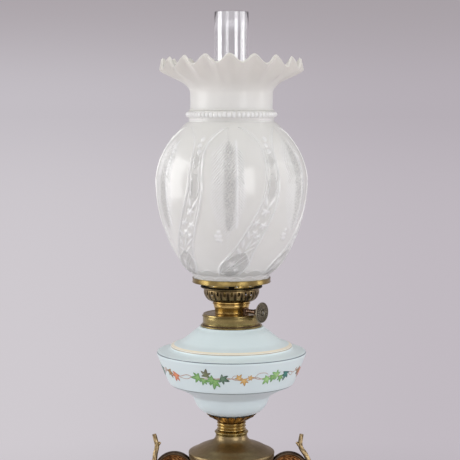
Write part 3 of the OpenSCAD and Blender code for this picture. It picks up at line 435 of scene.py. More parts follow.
def s_curve(r0, r1, z0, z1, count, start=0.0):
    """A smooth S from one radius to another between two heights."""
    return [(r0 + (r1 - r0) * (1 - math.cos(math.pi * t)) / 2, z0 + (z1 - z0) * t)
            for t in np.linspace(start, 1, count)]


def walls(line, thick):
    """The outline of a thin wall: the line itself and the same line moved inwards."""
    p = np.array(line, float)
    d = np.gradient(p, axis=0)
    n = np.stack([-d[:, 1], d[:, 0]], 1) / np.linalg.norm(d, axis=1)[:, None]
    inner = p + thick * n
    inner[:, 1] = np.clip(inner[:, 1], p[:, 1].min(), p[:, 1].max())
    return [tuple(q) for q in p] + [tuple(q) for q in inner[::-1]]


print("a bead has", len(bead(10, 1, 0, 2)), "points")

# %% [markdown]
# ## Brass
# The metal parts are all brass, but each has aged in its own way: the spun base has gone olive, the burner's
# neck is still bright, and the pierced bowl is nearly black in its hollows, partly tarnish and partly painted
# shade. One recipe makes them all. Fine rings left by the lathe run round the piece, a cloudy tarnish varies the
# colour, and small dents catch light.

# %% Brass recipe
def brass(name, bright, dull, rough=0.28, rings=0.6, tarnish=45, dents=0.0, cavity=None):
    """A brass finish. rings is the strength of the lathe lines, cavity a mesh mark that darkens hollows."""
    made = Finish(name, Metallic=1.0)
    cloud = made.noise(tarnish, 4.0, rough=0.6)
    fine = made.noise(tarnish * 9, 2.0)
    patch = (cloud * 1.5 + fine * 0.35 - 0.45).over(0.5, 0.9)
    tone = made.blend(light(*bright), light(*dull), patch)
    line = made.noise(1.0, 3.0, stretch=(20, 20, 2600), rough=0.7)
    roughness = patch * 0.16 + line * 0.1 + (rough - 0.1)
    height = line * 0.4 * rings
    if dents:
        height = height + made.noise(170, 3.0) * dents
    # A cavity mark paints shade into the hollows and leaves the raised parts bright: painted shade and painted
    # highlight over the tarnish.
    if cavity:
        hollow = made.marked(cavity)
        tone = made.blend(light(*[v * 0.22 for v in dull]), tone, hollow)
        roughness = roughness + (1 - hollow) * 0.25
    made.set(Base_Color=tone, Roughness=roughness)
    return made.bump(height, 0.12, 0.5)


spun_brass = brass("spun_brass", (172, 152, 112), (124, 108, 78), 0.34, tarnish=26)
bright_brass = brass("bright_brass", (220, 190, 120), (156, 122, 64), 0.2, tarnish=40)
collar_brass = brass("collar_brass", (176, 158, 106), (122, 106, 66), 0.25, tarnish=30)
ring_brass = brass("ring_brass", (172, 150, 94), (110, 92, 52), 0.24, tarnish=50)
neck_brass = brass("neck_brass", (208, 184, 124), (136, 114, 68), 0.2, tarnish=50)
dark_brass = brass("dark_brass", (152, 132, 92), (84, 68, 46), 0.24, 0.2, 60, 0.5, cavity="raise")
crown_brass = brass("crown_brass", (228, 188, 116), (150, 104, 56), 0.24, 0.0, 120, 0.4, cavity="raise")
twig_brass = brass("twig_brass", (242, 218, 166), (206, 176, 126), 0.32, 0.0, 90, 0.2, cavity="raise")
rim_brass = brass("rim_brass", (112, 94, 74), (62, 50, 40), 0.3, 0.2, 70, 0.2)
copper_brown = brass("copper_brown", (190, 136, 82), (96, 58, 34), 0.28, 0.0, 140, 1.0, cavity="raise")
cast_brass = brass("cast_brass", (172, 148, 92), (112, 92, 54), 0.32, 0.3, 26, 0.3)
tube_brass = brass("tube_brass", (200, 172, 104), (140, 114, 60), 0.3, 0.5, 60)
pewter = brass("pewter", (150, 142, 122), (96, 88, 74), 0.34, 0.0, 90, 0.3, cavity="raise")
bracket_brown = brass("bracket_brown", (146, 122, 104), (84, 66, 54), 0.34, 0.1, 90, 0.3)
steel = brass("steel", (150, 150, 150), (110, 108, 104), 0.35, 0.2, 60)
print("metal finishes:", len([m for m in bpy.data.materials if "brass" in m.name]))

# %% [markdown]
# ## Milk glass
# The font is opaline glass, milky and faintly blue. Light goes a little way into it, so it gets some
# scattering under a glossy skin. Painted lines run round it: a gilt one with a cream edge on the upper step and
# a dark one at each edge of the wall. They are bands of height, mixed into the colour.

# %% Opaline glass
font_foot = foot("font_glass")
font_top = top("font_glass")
FONT_R = reach("font_glass")
WALL_FOOT = font_foot + 35.6
WALL_TOP = WALL_FOOT + 35.0
STEP_TOP = WALL_TOP + 8.0
PAINTED_LINES = ((STEP_TOP - 2.9, 0.7, (158, 130, 92), 0.9), (STEP_TOP - 1.5, 1.5, (246, 232, 206), 0.8),
                 (WALL_TOP - 1.0, 1.0, (84, 94, 102), 0.9), (WALL_FOOT + 0.4, 0.9, (92, 104, 108), 0.85))

opaline = Finish("opaline", Roughness=0.34, Subsurface_Weight=0.2, Subsurface_Scale=0.003)
opaline.shader.inputs["Subsurface Radius"].default_value = (0.9, 1.0, 1.1)
lined = opaline.blend(light(218, 230, 231), light(211, 224, 226), opaline.noise(14, 2.0).over(0.5, 0.5))
for line_z, wide, colour, strength in PAINTED_LINES:
    line_share = 1 - abs(opaline.height() - line_z).over(wide / 2, 0.25)
    lined = opaline.blend(lined, light(*colour), line_share * strength)
opaline.set(Base_Color=lined)
opaline.bump(opaline.noise(60, 2.0), 0.05, 0.3)
print("painted lines at", [round(line[0], 1) for line in PAINTED_LINES], "mm")

# %% Font outline
WALL_FOOT_R = 65.9


def wall_radius(z):
    """Radius of the painted wall at a height, in mm."""
    t = np.clip((z - WALL_FOOT - 0.8) / (WALL_TOP - WALL_FOOT - 3.4), 0, 1)
    return WALL_FOOT_R + (FONT_R - WALL_FOOT_R) * t ** 0.92


bowl = smooth(raised(font_foot, (18.4, 0), (23.3, 3.2), (28.6, 4.9), (33.6, 8.2), (37.4, 13.4), (40.2, 20.2),
                     (42.4, 23.6), (48.4, 27.4), (56.4, 31.6), (63.4, 34.6))
              + [(WALL_FOOT_R, WALL_FOOT + 0.9)], 7)
wall = [(float(wall_radius(z)), z) for z in np.linspace(WALL_FOOT + 1.2, WALL_TOP - 2.7, 24)]
wall_edge = smooth(raised(WALL_TOP, (FONT_R, -1.9), (FONT_R - 0.7, -0.4), (FONT_R - 2.4, 0.1), (72.0, 0.8),
                          (66.6, 1.9)), 6)
step = smooth([(64.6, WALL_TOP + 3.2)] + raised(STEP_TOP, (64.3, -3.2), (63.7, -1.9), (62.0, -1.4)), 5)
slope = smooth(raised(STEP_TOP, (60.6, -0.6), (54.2, 1.8), (49.4, 5.0), (44.4, 8.9), (39.5, 13.0),
                      (35.4, 16.0)) + [(33.9, font_top)], 7)
hollow = (raised(font_top, (29.0, 0), (29.0, -5), (39.0, -9)) + [(56.6, STEP_TOP - 3.6)]
          + raised(WALL_TOP, (60.6, -2), (75.5, -5.6))
          + raised(WALL_FOOT, (62.3, 3.6), (35.7, -13.5), (29.9, -23))
          + raised(font_foot, (17.4, 3.6), (0.5, 3.6), (0.5, 0)))
font_line = bowl + wall + wall_edge + step + slope + hollow
lathe("font_milk_glass", font_line, "base", opaline, ["font_glass"], 256)
print("font outline of", len(font_line), "points")

# %% [markdown]
# ## The painted garland
# Ivy is painted round the wall of the font, freehand and in enamel, in three repeats. Enamel stands a little
# proud of the glass, so each leaf is a very thin patch with pointed lobes that lies on the wall. Its colour
# runs from a light middle to a darker edge, as one loaded brush leaves it, and is carried by its points.

# %% Enamel on the wall
GARLAND_Z = (WALL_FOOT + WALL_TOP) / 2
WALL_R = 71
ENAMEL = 0.1
TONES = {"brown": ((176, 140, 84), (120, 84, 50)), "orange": ((226, 150, 104), (190, 86, 50)),
         "bright": ((146, 188, 116), (82, 138, 70)), "spike": ((120, 128, 92), (88, 84, 66)),
         "dark": ((110, 140, 112), (50, 80, 66)), "ochre": ((222, 184, 118), (180, 138, 70)),
         "pale": ((170, 208, 140), (110, 164, 88)), "teal": ((60, 132, 118), (22, 76, 84)),
         "stem": ((190, 150, 120), (160, 104, 78))}


def enamel_points(azimuth_deg, above):
    """Points on the painted wall, from the azimuth and the height over the garland's middle."""
    z = GARLAND_Z + np.asarray(above, float)
    r, a = wall_radius(z) + ENAMEL, np.radians(azimuth_deg)
    return np.stack([r * np.sin(a), -r * np.cos(a), z], -1)


def ivy_leaf(azimuth_deg, above, size, lean, sides=44, rings=6):
    """The points and faces of one leaf. lean is the turn of its tip from straight up, in degrees."""
    phi = np.linspace(-180, 180, sides, endpoint=False)
    lobes = ((0, 1.0, 24), (54, 0.78, 19), (-50, 0.84, 20), (106, 0.52, 22), (-110, 0.56, 20))
    reaches = [length * np.exp(-(abs((phi - at + 180) % 360 - 180) / wide) ** 1.25)
               for at, length, wide in lobes]
    outline = 0.24 + np.max(reaches, axis=0) * 0.76
    out = np.linspace(0.04, 1, rings)[:, None] * outline * size
    tilt = np.radians(phi + lean)
    points = enamel_points(azimuth_deg + np.degrees(out * np.sin(tilt) / WALL_R), above + out * np.cos(tilt))
    index = np.arange(rings * sides).reshape(rings, sides)
    quads = np.stack([index[:-1], np.roll(index, -1, 1)[:-1], np.roll(index, -1, 1)[1:], index[1:]], -1)
    shade_share = np.linspace(0, 1, rings)[:, None] ** 1.5 + 0 * phi
    return points.reshape(-1, 3), [list(index[0][::-1])] + quads.reshape(-1, 4).tolist(), shade_share.ravel()


def stem_strip(line, wide):
    """The points and faces of a painted line through (azimuth, height) points."""
    p = np.array(smooth(line, 6))
    along = np.gradient(p, axis=0) * (WALL_R * math.pi / 180, 1)
    across = np.stack([-along[:, 1], along[:, 0]], 1) / np.linalg.norm(along, axis=1)[:, None] * wide / 2
    sides = [p + k * across * (180 / math.pi / WALL_R, 1) for k in (-1, 1)]
    points = np.concatenate([enamel_points(s[:, 0], s[:, 1]) for s in sides])
    n = len(p)
    return points, [[i, i + 1, n + i + 1, n + i] for i in range(n - 1)], np.full(2 * n, 0.6)


print("garland at", round(GARLAND_Z, 1), "mm")

# %% Paint the garland
LEAVES = [(-8.0, 1.6, 7.6, 160, "brown"), (0.6, -0.4, 8.6, 205, "orange"), (24.4, 0.2, 8.6, -95, "bright"),
          (29.0, -2.2, 6.4, 200, "bright"), (31.4, 3.2, 7.6, 8, "spike"), (36.2, -1.2, 8.2, 250, "bright"),
          (38.4, -3.0, 9.4, 190, "bright"), (44.4, 0.2, 8.2, 110, "dark"), (57.6, 0.4, 5.6, 30, "ochre"),
          (62.0, -1.6, 6.6, 170, "ochre"), (66.4, 0.6, 4.6, 80, "ochre"), (82.0, -1.2, 7.6, 215, "pale"),
          (87.0, 0.4, 6.6, 190, "bright"), (91.0, 1.4, 7.8, -60, "pale"), (95.4, -1.2, 6.2, 170, "bright"),
          (101.0, 1.8, 8.4, 190, "teal")]
REPEATS = ((-52, 1.0), (77, 0.895), (192.5, 0.895))
VINE = [(-15, 3.5), (-10, 0.6), (-3, -2.6), (6, -1.0), (14, 1.8), (22, -0.8), (34, 0.4), (46, -0.8), (53, 0.3),
        (60, -0.6), (68, 1.2), (75, -1.2), (84, 0.8), (96, 0.2), (106, 2.6), (112, 0.8), (118, 3.0)]
SECOND_VINE = [(5, -2.2), (13, -2.8), (20, 0.6), (28, -1.6), (48, 1.0), (56, -1.4), (66, -1.6), (72, 1.0),
               (79, -1.8), (90, -1.6)]
CURLS = [[(-13, 1.0), (-16, 3.6), (-13.5, 4.6), (-12.4, 3.2)], [(52, 0.4), (54, 3.4), (57, 3.0), (55.8, 1.8)],
         [(70, 0.4), (74, 5.0), (79, 5.4), (82, 3.4)], [(104, 2.2), (108, -1.4), (111, -1.0), (109.6, 0.6)]]
LEAVES_OVER_STEMS = 0.08
strokes = []
for start, stretch in REPEATS:
    for line, wide in [(VINE, 0.62), (SECOND_VINE, 0.5)] + [(curl, 0.42) for curl in CURLS]:
        spots = [(start + stretch * off, above) for off, above in line]
        strokes.append((*stem_strip(spots, wide), "stem"))
    for off, above, size, lean, tone_name in LEAVES:
        strokes.append((*ivy_leaf(start + stretch * off, above, size, lean), tone_name))


def paint(name, tones, over):
    """One mesh of enamel from the strokes of some tones, which stands so many mm over the coat below."""
    chosen = [stroke for stroke in strokes if stroke[3] in tones]
    starts = np.cumsum([0] + [len(stroke[0]) for stroke in chosen])
    points = np.concatenate([stroke[0] for stroke in chosen])
    points[:, :2] *= 1 + over / WALL_R
    faces = [[int(start + i) for i in face] for start, stroke in zip(starts, chosen) for face in stroke[1]]
    colours = []
    for _, _, share, tone_name in chosen:
        middle, border = (np.array(light(*colour)) for colour in TONES[tone_name])
        colours.append(middle * (1 - share[:, None]) + border * share[:, None])
    garland = bpy.data.meshes.new(name)
    garland.from_pydata((points * MM).tolist(), [], faces)
    at_points = garland.attributes.new("paint", "FLOAT_COLOR", "POINT")
    at_points.data.foreach_set("color", np.concatenate(colours).ravel())
    enamel = Finish(name + "_enamel", Roughness=0.4)
    loaded = enamel.node("ShaderNodeAttribute", {"attribute_name": "paint"}, out="Color")
    worn = enamel.noise(420, 3.0).over(0.68, 0.3) * 0.6
    enamel.set(Base_Color=enamel.blend(loaded, light(206, 214, 204), worn))
    thicken(settle(name, garland, "base", enamel), 1.5 * ENAMEL)
    print(name, "has", len(chosen), "strokes")


paint("ivy_stems", ["stem"], 0)
paint("ivy_leaves", [tone_name for tone_name in TONES if tone_name != "stem"], LEAVES_OVER_STEMS)

# %% [markdown]
# ## Spun and turned metal
# These pieces are plain outlines turned on the lathe, with rolled edges and small beads where the light
# breaks. Most outlines keep to the solid and only round its short straights. The shoulder is drawn a little
# flatter than its solid, as it looks in the photograph.

# %% Collar, cap and neck of the burner
collar_foot = foot("font_collar")
collar_top = top("font_collar")
COLLAR_R = reach("font_collar")
lathe("collar_ring", [(25.5, collar_foot), (27.6, collar_foot), (27.6, collar_top - 1.8)]
      + bead(COLLAR_R - 0.7, 0.7, collar_top - 1.8, collar_top, 8) + [(25.5, collar_top)],
      "base", collar_brass, ["font_collar"])

KNOB_TURN = math.radians(-37)
WAY_X, WAY_Y = (12.2, 17.3), (1.0, 4.8)
SEAT_R = 19.4


def rack_way(grid):
    """True for the faces of a grid that lie in the gap through which the wick carrier's rack rises."""
    middle = (grid + np.roll(grid, -1, 0) + np.roll(grid, -1, 1) + np.roll(grid, (-1, -1), (0, 1))) / 4
    x = middle[..., 0] * math.cos(KNOB_TURN) + middle[..., 1] * math.sin(KNOB_TURN)
    y = middle[..., 1] * math.cos(KNOB_TURN) - middle[..., 0] * math.sin(KNOB_TURN)
    return (x > WAY_X[0]) & (x < WAY_X[1]) & (y > WAY_Y[0]) & (y < WAY_Y[1])


def level(r0, r1, z, count=12):
    """A flat part of an outline, with points close enough together for the rack's gap."""
    return [(r, z) for r in np.linspace(r0, r1, count)]


cap_foot = top("collar_washer")
cap_top = top("burner_cap")
sleeve_foot = foot("burner_cap")
cap_line = (raised(sleeve_foot, (24.5, 0), (25.4, 0)) + raised(cap_foot, (25.4, 0), (30.2, 0))
            + bead(30.2, 0.5, cap_foot, cap_foot + 1.4, 6) + [(30.35, cap_foot + 1.6), (30.35, cap_top - 3.6)]
            + bead(30.35, 0.75, cap_top - 3.5, cap_top - 1.7, 9)
            + smooth(raised(cap_top, (30.2, -1.5), (29.9, -0.5), (29.0, 0)), 4)
            + smooth(raised(cap_top, (27.4, 0), (26.6, -0.35), (22.0, -0.3), (SEAT_R, 0)), 4)[:-1]
            + level(SEAT_R, 13.1, cap_top) + level(13.1, SEAT_R, cap_top - 0.9)
            + raised(cap_top, (29.0, -0.9), (29.4, -2)) + raised(cap_foot, (29.4, 0.9), (24.5, 0.9)))
cap_grid = turn(cap_line, 360)
skin("cap_shell", cap_grid, "burner", collar_brass, ["burner_cap"], keep=~rack_way(cap_grid))
print("cap from", round(cap_foot, 1), "to", round(cap_top, 1), "mm")

# %% Neck of the burner
neck_foot = foot("burner_neck")
neck_top = top("burner_neck")
PORT_TURN = math.radians(233)
neck_line = (raised(neck_foot, (17.5, 0), (17.9, 0.5), (17.5, 1.0), (17.5, 2.4))
             + smooth(raised(neck_foot, (17.6, 3.2), (18.1, 5.4), (18.8, 7.6), (19.0, 9.2)), 6)
             + bead(18.9, 1.1, neck_top - 3.5, neck_top - 1.3, 12) + raised(neck_top, (19.2, -1.1), (19.2, 0)))
neck_grid = turn(walls(neck_line, 0.8), 192)
port_out = neck_grid[..., 0] * math.sin(PORT_TURN) - neck_grid[..., 1] * math.cos(PORT_TURN)
port_side = neck_grid[..., 0] * math.cos(PORT_TURN) + neck_grid[..., 1] * math.sin(PORT_TURN)
port_up = neck_grid[..., 2] - neck_foot
in_port = (port_out > 10) & (abs(port_side) < 4.3) & (port_up > 2.6) & (port_up < 9.6)
skin("burner_neck_spun", neck_grid, "burner", bright_brass, ["burner_neck"], keep=~in_port)
print("air port takes", int(in_port.sum()), "faces out of the neck")

# %% Ring that holds the shade
ring_foot = foot("shade_ring")
ring_top = top("shade_ring")
RING_R = reach("shade_ring")
ring_line = (raised(ring_foot, (RING_R - 5, 0), (RING_R - 0.5, 0), (RING_R, 0.5), (RING_R, 1.0))
             + [(RING_R - 0.25, ring_foot + 1.3), (RING_R - 0.25, ring_top - 1.0)]
             + bead(RING_R - 0.25, 0.25, ring_top - 0.9, ring_top, 6)
             + [(RING_R - 0.8, ring_top)] + raised(ring_foot, (RING_R - 0.8, 0.8), (RING_R - 5, 0.8)))
lathe("shade_ring_band", ring_line, "shade_holder", ring_brass, ["shade_ring"], 200)
print("shade ring", round(2 * RING_R, 1), "mm across")

# %% Shoulder, band and bowl of the urn
BORE_R = 3.2
band_foot = foot("urn_band")
band_top = top("urn_band")
BAND_R = reach("urn_band") + 0.4
shoulder_top = top("urn_shoulder")
shoulder_line = smooth(raised(band_top, (BAND_R, 0.6), (BAND_R - 0.9, 2.6), (38.8, 5.6), (34.5, 8.0),
                              (29.7, 10.0), (25.0, 11.6), (21.4, 13.2), (18.8, 15.2), (17.2, 17.6))
                       + [(16.6, shoulder_top)], 7)
lathe("shoulder_spun", [(41.2, band_top), (BAND_R - 0.4, band_top)] + shoulder_line
      + raised(shoulder_top, (BORE_R, 0), (BORE_R, -1.2), (15.2, -1.6))
      + raised(band_top, (17.4, 14.0), (24.0, 10.2), (37.6, 4.4), (41.2, 1.2)),
      "base", spun_brass, ["urn_shoulder"], 200)
third = (band_top - band_foot) / 3
lathe("band_rolled", [(40.5, band_foot)] + bead(BAND_R - 1.4, 0.9, band_foot, band_foot + third)
      + bead(BAND_R - 1.4, 1.2, band_foot + third, band_foot + 2 * third)
      + bead(BAND_R - 1.4, 0.9, band_foot + 2 * third, band_top) + [(40.5, band_top)],
      "base", spun_brass, ["urn_band"], 200)

bowl_foot = foot("urn_bowl")
swell = [(14 + 21.5 * math.sin(t * math.pi / 2) ** 1.15, bowl_foot + 7 + 51 * t)
         for t in np.linspace(0, 1, 30)]
waist = s_curve(35.5, 39.4, bowl_foot + 66, bowl_foot + 88, 16)
lip = [(39.4 + 3.1 * t ** 2, bowl_foot + 106 + 6 * t) for t in np.linspace(0, 1, 10)]
urn_line = (bead(16.2, 0.8, bowl_foot, bowl_foot + 3) + smooth(raised(bowl_foot, (15.2, 4), (14.2, 6)), 4)
            + swell[1:] + bead(35.8, 1.2, bowl_foot + 58.2, bowl_foot + 60)
            + raised(bowl_foot, (36.6, 60.2), (36.6, 63.8))
            + bead(35.8, 1.2, bowl_foot + 64, bowl_foot + 65.8) + waist + lip)
lathe("urn_spun", walls(urn_line, 1.4), "base", spun_brass, ["urn_bowl"], 200)
print("urn from", round(bowl_foot, 1), "to", round(shoulder_top, 1), "mm")

# %% Flange and ringed neck under the crown
flange_foot = foot("neck_flange")
flange_top = top("neck_flange")
lathe("flange_turned", [(BORE_R, flange_foot)] + bead(16.3, 0.5, flange_foot, flange_foot + 1.1)
      + bead(16.1, 1.9, flange_foot + 1.2, flange_top, 20) + [(BORE_R, flange_top)],
      "base", collar_brass, ["neck_flange"], 200)
NECK_RINGS = 3
ringed_top = top("ringed_neck")
ringed = [(BORE_R, flange_top)]
for k in range(NECK_RINGS):
    z = flange_top + (ringed_top - flange_top) / NECK_RINGS * k
    ringed += bead(13.9, 1.6, z + 0.1, z + 2.9, 14) + [(13.8, z + 3.1)]
ringed += raised(ringed_top, (13.9, 0), (BORE_R, 0))
lathe("neck_rings", ringed, "base", neck_brass, ["ringed_neck"], 200)
print("neck from", round(flange_foot, 1), "to", round(ringed_top, 1), "mm")

# %% Bell foot and knop
bell_low = foot("bell_foot")
bell_high = top("bell_foot")
bell_flare = [(16 + 46 * (1 - t) ** 2.4, bell_low + 3 + 34 * t) for t in np.linspace(0, 1, 40)]
bell_line = ([(56, bell_low), (61, bell_low)] + bead(61, 0.9, bell_low, bell_low + 2.4)
             + [(60.4, bell_low + 3)] + bell_flare[1:] + bead(15.6, 1.2, bell_high - 2.8, bell_high)
             + raised(bell_high, (BORE_R, 0), (BORE_R, -3), (13.6, -3))
             + [(r - 2.2, z - 1.2) for r, z in bell_flare[-4:0:-4]] + [(56, bell_low + 1.6)])
lathe("bell_cast", bell_line, "base", cast_brass, ["bell_foot"], 200)
knop_foot = foot("stem_knop")
knop_top = top("stem_knop")
KNOP_R = reach("stem_knop")
lathe("knop_cast", [(BORE_R, knop_foot)] + bead(15.2, 0.8, knop_foot, knop_foot + 2.2)
      + bead(14.2, KNOP_R - 14.2, knop_foot + 2.6, knop_top - 2.6, 30)
      + bead(15.2, 0.8, knop_top - 2.2, knop_top) + [(BORE_R, knop_top)],
      "base", cast_brass, ["stem_knop"])
print("knop radius", round(KNOP_R, 1), "mm")

# %% [markdown]
# ## Plinth
# The two square slabs under the bell foot are cast. Their edges are softened by a small moulding, drawn as
# one outline that goes round a square with rounded corners.

# %% Plinth
def round_square(line, corner=5.0, steps=10):
    """The grid of an outline of (half width, height) points taken round a square with rounded corners."""
    rows = []
    for half, z in line:
        row = []
        for k, (sx, sy) in enumerate([(1, -1), (1, 1), (-1, 1), (-1, -1)]):
            for t in np.linspace(0, 1, steps):
                a = math.radians(-90 + 90 * k + 90 * t)
                r = min(corner, half)
                row.append((sx * (half - r) + r * math.cos(a), sy * (half - r) + r * math.sin(a), z))
        rows.append(row)
    return np.array(rows)


for node in ("plinth_lower", "plinth_upper"):
    low, high, half = foot(node), top(node), reach(node)
    moulded = ([(half - 4, low), (half - 0.8, low), (half, low + 0.8), (half, high - 3.4)]
               + [(half - 0.5, high - 3.2)]
               + [(half - 0.5 - 2.2 * math.sin(t) ** 1.2, high - 0.4 - 2.6 * math.cos(t) ** 1.2)
                  for t in np.linspace(0.05, math.pi / 2, 8)] + [(half - 3.4, high)])
    flat = [(half - 12, high), (half - 30, high), (6, high), (6, high - 3.5), (half - 4, high - 3.5)]
    skin(node + "_cast", round_square(moulded + flat), "base", cast_brass, [node])
print("plinth half width", reach("plinth_lower"), "mm")

# %% [markdown]
# ## Crown of petals
# The font stands in a cup of leaves, cast and cut with a serrated rim. Each petal bulges between two grooves,
# has a mid rib, and its tip curls out. The cup sits under the glass, so the petals never reach into it.

# %% Crown
crown_foot = foot("crown_cup")
crown_top = top("crown_cup")
CROWN_R = reach("crown_cup")
PETALS = 18
turn_a = np.linspace(0, 2 * math.pi, PETALS * 24, endpoint=False)
rise_t = np.linspace(0, 1, 22)[:, None]
petal = abs(np.cos(turn_a * PETALS / 2))
rib = np.exp(-((np.cos(turn_a * PETALS) - 1) / 0.12) ** 2)
groove = 1 - petal ** 0.35
swell_out = 0.5 * petal ** 0.6 - 1.1 * groove + 0.25 * rib
crown_r = 14.6 + (CROWN_R - 15.2) * rise_t ** 0.85 + rise_t ** 0.5 * swell_out
crown_r = np.minimum(crown_r, CROWN_R) + 0.9 * rise_t ** 6 * petal ** 0.5
teeth = abs(np.sin(turn_a * PETALS * 2.5)) * rise_t ** 4
crown_z = crown_foot + (crown_top - crown_foot) * rise_t * (1 - 0.3 * groove - 0.1 * teeth)
back_r = crown_r[::-3] - 1.3
back_z = np.minimum(crown_z[::-3], crown_z[-1] - 0.1)
crown_grid = np.vstack([np.stack([r * np.sin(turn_a), -r * np.cos(turn_a), z + 0 * r], -1)
                        for r, z in ((crown_r, crown_z), (back_r, back_z))])
# crown_mark paints shade and highlight: dark in the grooves, between the teeth and low on the cup, bright on the
# upper petals.
crown_mark = np.vstack([np.clip(petal ** 0.4 * (0.6 + 0.7 * rise_t) - 0.3 * teeth, 0, 1),
                        np.zeros_like(back_r)])
skin("crown_leaves", crown_grid, "base", crown_brass, ["crown_cup"],
     marks={"raise": crown_mark})
print("crown of", PETALS, "petals")

# %% [markdown]
# ## Roundels
# A roundel is a rolled rim with a dished plate in it, chased with a rosette on a hammered ground. The front
# and the back are alike. The relief is a height over the plate, and the same height darkens the hollows
# with painted shade.

# %% Roundels
ROUNDEL_R = 22
PLATE_R = 18.7
PLATE_ROWS = 60


def upright(grid, side):
    """Stands a grid drawn round Z upright, with its front to -Y, at the roundel of that side."""
    low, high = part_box("roundel_rim_" + side)
    centre = (low + high) / 2 / MM
    x = grid[..., 0] + (high.x / MM - ROUNDEL_R if side == "right" else low.x / MM + ROUNDEL_R)
    return np.stack([x, centre.y - grid[..., 2], centre.z + grid[..., 1]], -1)


def rosette(r, a):
    """Height of the chased relief at a radius and angle, from 0 to about 1."""
    leaves = np.exp(-((r - 9.0) / 3.6) ** 2) * (0.55 + 0.45 * np.cos(8 * a)) ** 0.8
    middle = np.exp(-(r / 3.4) ** 4)
    hammered = 0.16 * np.sin(r * 2.3 + 3 * np.sin(5 * a)) * np.sin(11 * a + r * 0.9)
    hammered = hammered + 0.12 * np.sin(17 * a - r * 1.7)
    border = np.exp(-((r - 15.6) / 1.0) ** 2) * 0.5 + 0.3 * np.exp(-((r - 17.6) / 0.6) ** 2)
    return np.clip(0.8 * leaves + middle + border + hammered * (r < 17), 0, 1.2)


rim_line = ([(18.6, -3), (18.8, -4), (19.4, -4.4)] + bead(20.6, 1.4, -4.3, 4.3, 20)
            + [(19.4, 4.4), (18.8, 4), (18.6, 3)])
r = np.concatenate([np.linspace(0.05, PLATE_R, PLATE_ROWS), np.linspace(PLATE_R, 0.05, PLATE_ROWS)])[:, None]
a = np.linspace(0, 2 * math.pi, 160, endpoint=False)
chased = rosette(r, a)
face_side = np.where(np.arange(2 * PLATE_ROWS) < PLATE_ROWS, 1.0, -1.0)[:, None]
dish = face_side * (1.2 + 1.6 * (r / PLATE_R) ** 6 + 1.9 * chased * (r < 18.3))
plate_grid = np.stack([r * np.sin(a), -r * np.cos(a) + 0 * r, dish + 0 * a], -1)[::-1]
# plate_mark paints shade into the hammered ground and leaves the rosette bright.
plate_mark = np.clip(0.4 + chased, 0, 1)[::-1]
for side in ("left", "right"):
    skin("roundel_rim_" + side + "_rolled", upright(turn(rim_line, 120), side), "base",
         rim_brass, ["roundel_rim_" + side])
    skin("roundel_face_" + side + "_chased", upright(plate_grid, side), "base", copper_brown,
         ["roundel_face_" + side], marks={"raise": plate_mark})
print("roundels at x", round(reach("roundel_rim_right"), 1), "mm")

# %% [markdown]
# ## Twig branches
# Each handle is a cast twig that runs round its roundel and ends in a cut tip with a side shoot. It is a
# sweep: rings of points along a path, thinner towards the tip, with knots and bark pushed out of the radius.

# %% Sweep
def sweep(path, radius, sides=24, bark=0.0):
    """The grid of a round rod along a path in mm, and its bark as marks. The ends shrink to a point."""
    p = np.array(path, float)
    tangent = np.gradient(p, axis=0)
    tangent /= np.linalg.norm(tangent, axis=1)[:, None]
    across = np.cross(tangent, np.array((0, 1, 0), float))
    across /= np.linalg.norm(across, axis=1)[:, None]
    upward = np.cross(tangent, across)
    a = np.linspace(0, 2 * math.pi, sides, endpoint=False)
    along = np.concatenate([[0], np.cumsum(np.linalg.norm(np.diff(p, axis=0), axis=1))])[:, None]
    r = np.broadcast_to(np.array(radius, float).reshape(-1, 1), (len(p), 1))
    lump = bark * (0.5 * np.sin(along * 1.9 + 2 * np.sin(a * 2)) + 0.35 * np.sin(a * 5 + along * 0.8)
                   + 0.5 * np.exp(-((along % 11 - 5.5) / 1.1) ** 2))
    outward = np.cos(a)[:, None] * across[:, None] + np.sin(a)[:, None] * upward[:, None]
    rod = p[:, None] + (r + lump)[..., None] * outward
    ends = [np.repeat(p[k][None, None], sides, 1) + 0.02 * (rod[k][None] - p[k]) for k in (0, -1)]
    cut = [np.ones(sides)]
    return np.concatenate([ends[0], rod, ends[1]]), np.vstack([cut, 0.5 + lump / max(bark, 0.01) * 0.5, cut])


